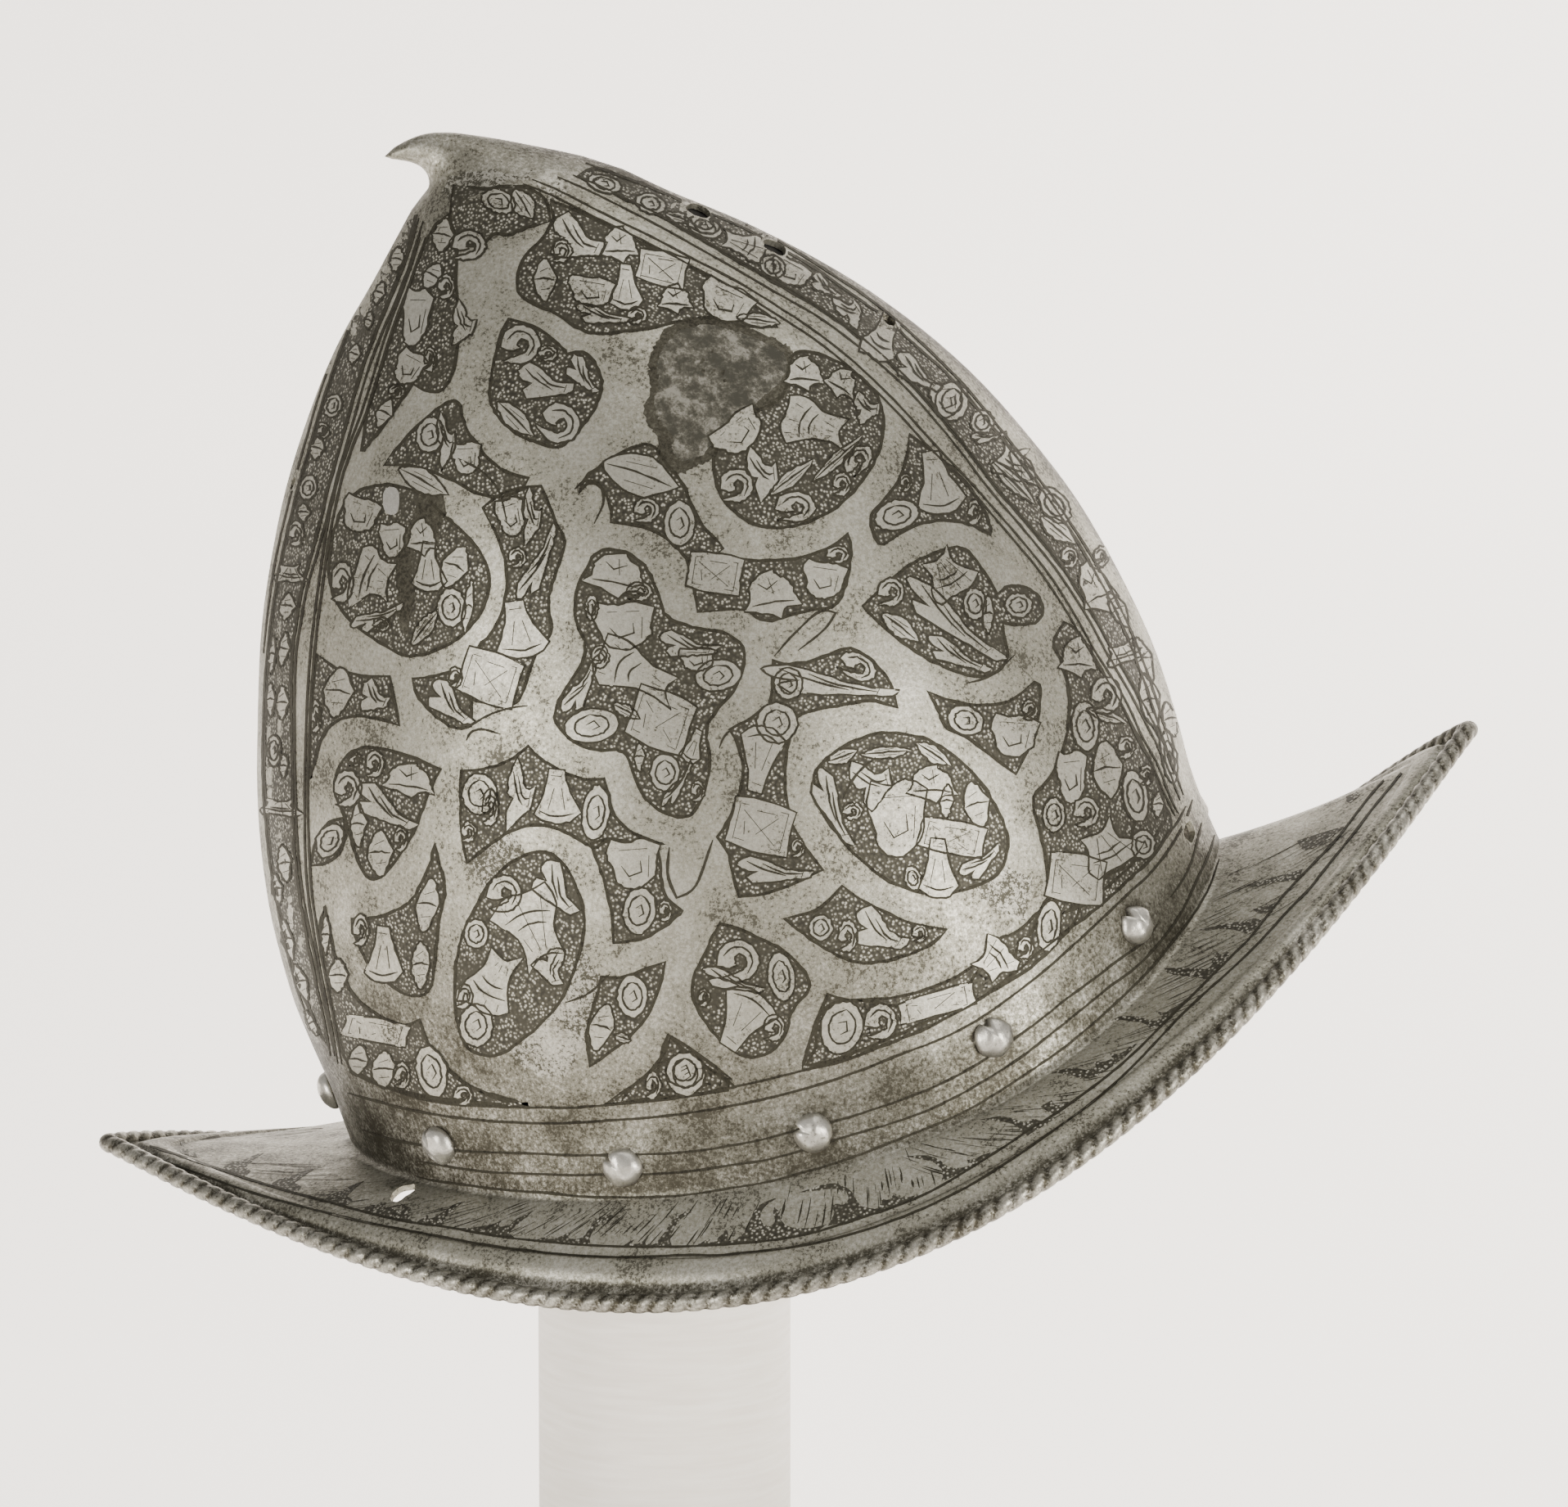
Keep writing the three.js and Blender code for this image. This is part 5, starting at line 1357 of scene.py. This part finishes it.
def build_hatching():
    """Fine strokes on the brim's leaves. They lean toward the middle of the side."""
    angles = band_lengths()
    room = len(angles) - 1
    meet = next(index for index, angle in enumerate(angles) if angle > LEAVES_MEET)
    chance = random.Random(HATCH_SEED)
    mesh = bmesh.new()
    start = float(HATCH_CLEAR)
    while start < room - HATCH_CLEAR:
        start += HATCH_PITCH * chance.uniform(0.3, 1.5)
        inner = chance.uniform(0.35, 0.95)
        outer = max(0.12, inner - chance.uniform(0.12, 0.4))
        lean = (meet - start) / abs(meet - start + 0.01) * HATCH_LEAN * (inner - outer)
        foot = Vector((start, outer * BRIM_UNITS, 0))
        tip = Vector((start + lean, inner * BRIM_UNITS, 0))
        width = chance.uniform(HATCH_NARROW, HATCH_WIDE)
        add_stroke(mesh, [foot, (foot + tip) / 2, tip], width)

    def on_brim(flat):
        along = min(max(flat.x, 0), room)
        low = min(int(along), room - 1)
        angle = mix(angles[low], angles[low + 1], along - low)
        return brim_point(angle, (band_start(angle) - 0.02) * (1 - flat.y / BRIM_UNITS))

    wrapped = wrap_on_plate(mesh, LINE_RISE, on_brim, walls=False)
    make_piece("leaf_hatching", wrapped, "helmet_shell", line_steel)


build_bare_places()
build_grounds()
build_trophies()
build_long_lines()
build_leaf_grounds()
build_hatching()


# The turned rope of the rim

STRAND_COLUMNS = 8
ROPE_SIDES = 16
ROPE_PROUD = 0.15
GROOVE_SHARPNESS = 6
TIP_FADE = 0.1
ROPE_SOIL = 0.35
GROOVE_DIRT_AND_SHADE = 1.6


def strand_angles(columns):
    """Angles at even lengths along the rim."""
    fine = 2880
    lengths = [0.0]
    last = rim_line(0)
    for step in range(1, fine + 1):
        point = rim_line(step / fine * 2 * math.pi)
        lengths.append(lengths[-1] + (point - last).length)
        last = point
    total = lengths[-1]
    angles = []
    step = 0
    for column in range(columns):
        wanted = column / columns * total
        while lengths[step + 1] < wanted:
            step += 1
        within = (wanted - lengths[step]) / (lengths[step + 1] - lengths[step])
        angles.append((step + within) / fine * 2 * math.pi)
    return angles


def build_rope():
    """A round bead along the rim, fluted on the slant. Its strands fade out at
    the two tips of the brim. Its grooves are darkened: dirt, and painted shade
    that makes the flutes read as hollows."""
    length = sum(
        (rim_line((s + 1) * math.pi / 180) - rim_line(s * math.pi / 180)).length
        for s in range(360)
    )
    strands = round(length / STRAND_PITCH)
    columns = strands * STRAND_COLUMNS
    angles = strand_angles(columns)
    mesh = bmesh.new()
    bmesh.ops.create_grid(mesh, x_segments=columns, y_segments=ROPE_SIDES, size=1)
    soil_and_shade = mesh.verts.layers.float.new("soil_and_shade")
    for vert in mesh.verts:
        column = round((vert.co.x + 1) / 2 * columns)
        turn = (vert.co.y + 1) * math.pi
        angle = angles[column % columns]
        middle = rim_line(angle)
        tangent = (rim_line(angle + 0.01) - rim_line(angle - 0.01)).normalized()
        inward = brim_point(angle, 0.9) - middle
        out = -(inward - tangent * inward.dot(tangent)).normalized()
        up = tangent.cross(out)
        if up.z < 0:
            up.negate()
        phase = column / STRAND_COLUMNS + turn / (2 * math.pi) * 2
        at_tip = min(abs(math.sin(angle)) / TIP_FADE, 1)
        groove = abs(math.cos(math.pi * phase)) ** GROOVE_SHARPNESS * at_tip
        # Dirt and painted shade darken the grooves between the strands
        vert[soil_and_shade] = min(1, ROPE_SOIL + GROOVE_DIRT_AND_SHADE * groove)
        radius = ROPE_RADIUS + ROPE_PROUD - FLUTE_DEPTH * groove
        vert.co = middle + (out * math.cos(turn) + up * math.sin(turn)) * radius
    bmesh.ops.remove_doubles(mesh, verts=mesh.verts, dist=0.001)
    bmesh.ops.recalc_face_normals(mesh, faces=mesh.faces)
    make_piece("rim_rope", mesh, "helmet_shell", rope_steel)


build_rope()


# Rivets: hammered caps, each split at its edge

CAP_RADIUS = 4.8
CAP_HEIGHT = 3.5
CAP_UNDER = 1.2
CAP_LIFT = 0.2
FACET_SWELL = 0.09
FACET_RISE = 0.14
NOTCH_WIDTH = 0.2
NOTCH_SWELL = 0.5
NOTCH_RISE = 0.3


def build_rivet(name, angle, level, seed):
    """A low dome with flat places from the hammer and one split in its edge."""
    point, normal = seat_on(angle, level)
    mesh = bmesh.new()
    bmesh.ops.create_uvsphere(mesh, u_segments=40, v_segments=24, radius=1)
    split = math.radians(95 + seed * 137 % 60)
    for vert in mesh.verts:
        around = math.atan2(vert.co.y, vert.co.x)
        flat = math.hypot(vert.co.x, vert.co.y)
        notch = max(0, 1 - abs(math.remainder(around - split, 2 * math.pi)) / NOTCH_WIDTH)
        facet = noise.noise(Vector((vert.co.x * 1.7 + seed, vert.co.y * 1.7, vert.co.z)))
        swell = 1 + FACET_SWELL * facet - NOTCH_SWELL * notch * flat ** 2
        rise = 1 + FACET_RISE * facet - NOTCH_RISE * notch * flat
        height = vert.co.z * (CAP_HEIGHT if vert.co.z > 0 else CAP_UNDER)
        vert.co = Vector((vert.co.x * CAP_RADIUS * swell, vert.co.y * CAP_RADIUS * swell,
                          height * rise))
    turn = normal.to_track_quat("Z", "Y").to_matrix().to_4x4()
    mesh.transform(Matrix.Translation(point + normal * CAP_LIFT) @ turn)
    make_piece(name + "_cap", mesh, name, rivet_steel)


for seed, (rivet, (angle, level)) in enumerate(RIVETS.items()):
    build_rivet(rivet, angle, level, seed)


# The post and its foot, turned in one, straight up in the world. The post's
# head follows the inside of the crown, a hair's breadth below it.
HEAD_GAP = 0.3
EDGE_ROUND = 3
EDGE_STEPS = 6
FOOT_FILLET = 0.6
POST_SEGMENTS = 128
HEAD_RINGS = 14
HEAD_LOOK_FROM = CROWN_HEIGHT * 0.6
SHARP_EDGE = math.radians(35)


def post_head(x, y):
    """Height of the post's head, under the crown's inner wall."""
    start = WORLD_TO_HELMET @ Vector((x, y, HEAD_LOOK_FROM))
    upward = (WORLD_TO_HELMET.to_3x3() @ Vector((0, 0, 1))).normalized()
    hit, normal, _, length = plate_tree.ray_cast(start, upward)
    return HEAD_LOOK_FROM + length - (WALL + HEAD_GAP) / max(abs(normal.dot(upward)), 0.3)


def build_stand():
    """The foot, the post and its head, turned round one axis. A ring with no
    height of its own is part of the head."""
    quarter = [step / EDGE_STEPS * math.pi / 2 for step in range(EDGE_STEPS + 1)]
    rings = [(FOOT_RADIUS - EDGE_ROUND, 0)]
    for turn in quarter:
        rings.append((FOOT_RADIUS - EDGE_ROUND * (1 - math.sin(turn)),
                      EDGE_ROUND * (1 - math.cos(turn))))
    for turn in quarter:
        rings.append((FOOT_RADIUS - EDGE_ROUND * (1 - math.cos(turn)),
                      FOOT_HEIGHT - EDGE_ROUND * (1 - math.sin(turn))))
    rings.append((POST_RADIUS + FOOT_FILLET, FOOT_HEIGHT))
    rings.append((POST_RADIUS, FOOT_HEIGHT + FOOT_FILLET))
    rings += [(POST_RADIUS * (1 - ring / HEAD_RINGS), None) for ring in range(HEAD_RINGS)]
    mesh = bmesh.new()
    in_head = set()
    bmesh.ops.create_grid(mesh, x_segments=POST_SEGMENTS, y_segments=len(rings) - 1, size=1)
    for index, vert in enumerate(mesh.verts):
        radius, height = rings[index // (POST_SEGMENTS + 1)]
        turn = (vert.co.x + 1) * math.pi
        x = radius * math.cos(turn)
        y = radius * math.sin(turn)
        vert.co = Vector((x, y, post_head(x, y) if height is None else height))
        if height is None:
            in_head.add(vert)
    # Painted shade: the faces of the post's head take the second material, flat black
    for face in mesh.faces:
        face.material_index = int(all(vert in in_head for vert in face.verts))
    bmesh.ops.remove_doubles(mesh, verts=mesh.verts, dist=0.001)
    bmesh.ops.holes_fill(mesh, edges=[edge for edge in mesh.edges if edge.is_boundary], sides=0)
    bmesh.ops.recalc_face_normals(mesh, faces=mesh.faces)
    mesh.transform(Matrix.Scale(0.001, 4))
    for edge in mesh.edges:
        if edge.is_manifold and edge.calc_face_angle(0) > SHARP_EDGE:
            edge.smooth = False
    post = make_piece("turned_post", mesh, "display_stand", post_paint,
                      placed=True)
    # The head's flat black is painted shade for the dark inside of the crown
    post.data.materials.append(head_painted_shade)


build_stand()


# The studio: one pale sheet that curves up behind, and soft lights

PAPER_LENGTH = 9
PAPER_FRONT = 3.6
PAPER_HALF_WIDTH = 6
PAPER_DEPTH = 2.2
PAPER_BEND = 1.2
PAPER_LEVEL = -0.0005
FRONT_GLOW = 0.15
WALL_GLOW = 2.4


def build_studio():
    """The paper, in metres. It is no lamp, yet it glows: painted light behind the helmet, with painted shade
    to the left.
    """
    mesh = bmesh.new()
    bmesh.ops.create_grid(mesh, x_segments=1, y_segments=40, size=1)
    for vert in mesh.verts:
        share = (vert.co.y + 1) / 2
        run = share * PAPER_LENGTH - PAPER_FRONT
        x = vert.co.x * PAPER_HALF_WIDTH
        if run < PAPER_DEPTH:
            vert.co = Vector((x, run, PAPER_LEVEL))
        else:
            turn = min((run - PAPER_DEPTH) / PAPER_BEND, math.pi / 2)
            rest = max(0, run - PAPER_DEPTH - PAPER_BEND * math.pi / 2)
            vert.co = Vector((x, PAPER_DEPTH + PAPER_BEND * math.sin(turn),
                              PAPER_BEND * (1 - math.cos(turn)) + rest))
    data = bpy.data.meshes.new("paper sweep")
    mesh.to_mesh(data)
    mesh.free()
    for face in data.polygons:
        face.use_smooth = True
    material, tree, shader = new_material("glowing background paper")
    shader.inputs["Base Color"].default_value = linear("#f1eeea")
    where = add_node(tree, "ShaderNodeTexCoord").outputs["Object"]
    axes = add_node(tree, "ShaderNodeSeparateXYZ", {}, {"Vector": where})
    # Painted light: the glow is weak in front and strong behind and to the right; painted shade darkens it to
    # the left
    behind = map_range(tree, axes.outputs["Y"], -0.5, 0.0, FRONT_GLOW, WALL_GLOW)
    to_right = map_range(tree, axes.outputs["X"], -0.5, 0.6, 0.85, 1.25)
    shade = map_range(tree, axes.outputs["X"], -1.5, -0.8, 0.15, 1.0)
    glow = multiply(tree, multiply(tree, behind, to_right), shade)
    tree.links.new(glow, shader.inputs["Emission Strength"])
    shader.inputs["Emission Color"].default_value = linear("#fff6ec")
    shader.inputs["Roughness"].default_value = 0.95
    data.materials.append(material)
    sweep = bpy.data.objects.new("paper_sweep", data)
    bpy.context.scene.collection.objects.link(sweep)


LIGHT_COLOUR = "#fffaf2"


def soft_light(name, spot, size, power):
    """A panel of light turned to where the camera looks. Metres and watts."""
    data = bpy.data.lights.new(name, "AREA")
    data.shape = "RECTANGLE"
    data.size = size[0]
    data.size_y = size[1]
    data.energy = power
    data.color = linear(LIGHT_COLOUR)[:3]
    light = bpy.data.objects.new(name, data)
    light.location = spot
    light.rotation_euler = (aim * 0.001 - Vector(spot)).to_track_quat("-Z", "Y").to_euler()
    bpy.context.scene.collection.objects.link(light)


build_studio()
soft_light("window", (-1.4, -1.4, 0.35), (0.4, 1.0), 30)
soft_light("right_panel", (1.5, -1.35, 0.35), (0.6, 0.9), 42)
soft_light("top", (0.5, -0.1, 1.9), (1.6, 1.2), 12)
world = bpy.data.worlds.new("studio air")
world.use_nodes = True
background = world.node_tree.nodes["Background"]
background.inputs["Color"].default_value = linear("#f2efec")
background.inputs["Strength"].default_value = 0.6
bpy.context.scene.world = world

camera_data = bpy.data.cameras.new("photo camera")
camera_data.sensor_width = SENSOR
camera_data.lens = FOCAL_PIXELS / PHOTO_WIDTH * SENSOR
camera = bpy.data.objects.new("photo camera", camera_data)
camera.location = camera_spot * 0.001
camera.rotation_euler = view_ahead.to_track_quat("-Z", "Y").to_euler()
bpy.context.scene.collection.objects.link(camera)
bpy.context.scene.camera = camera
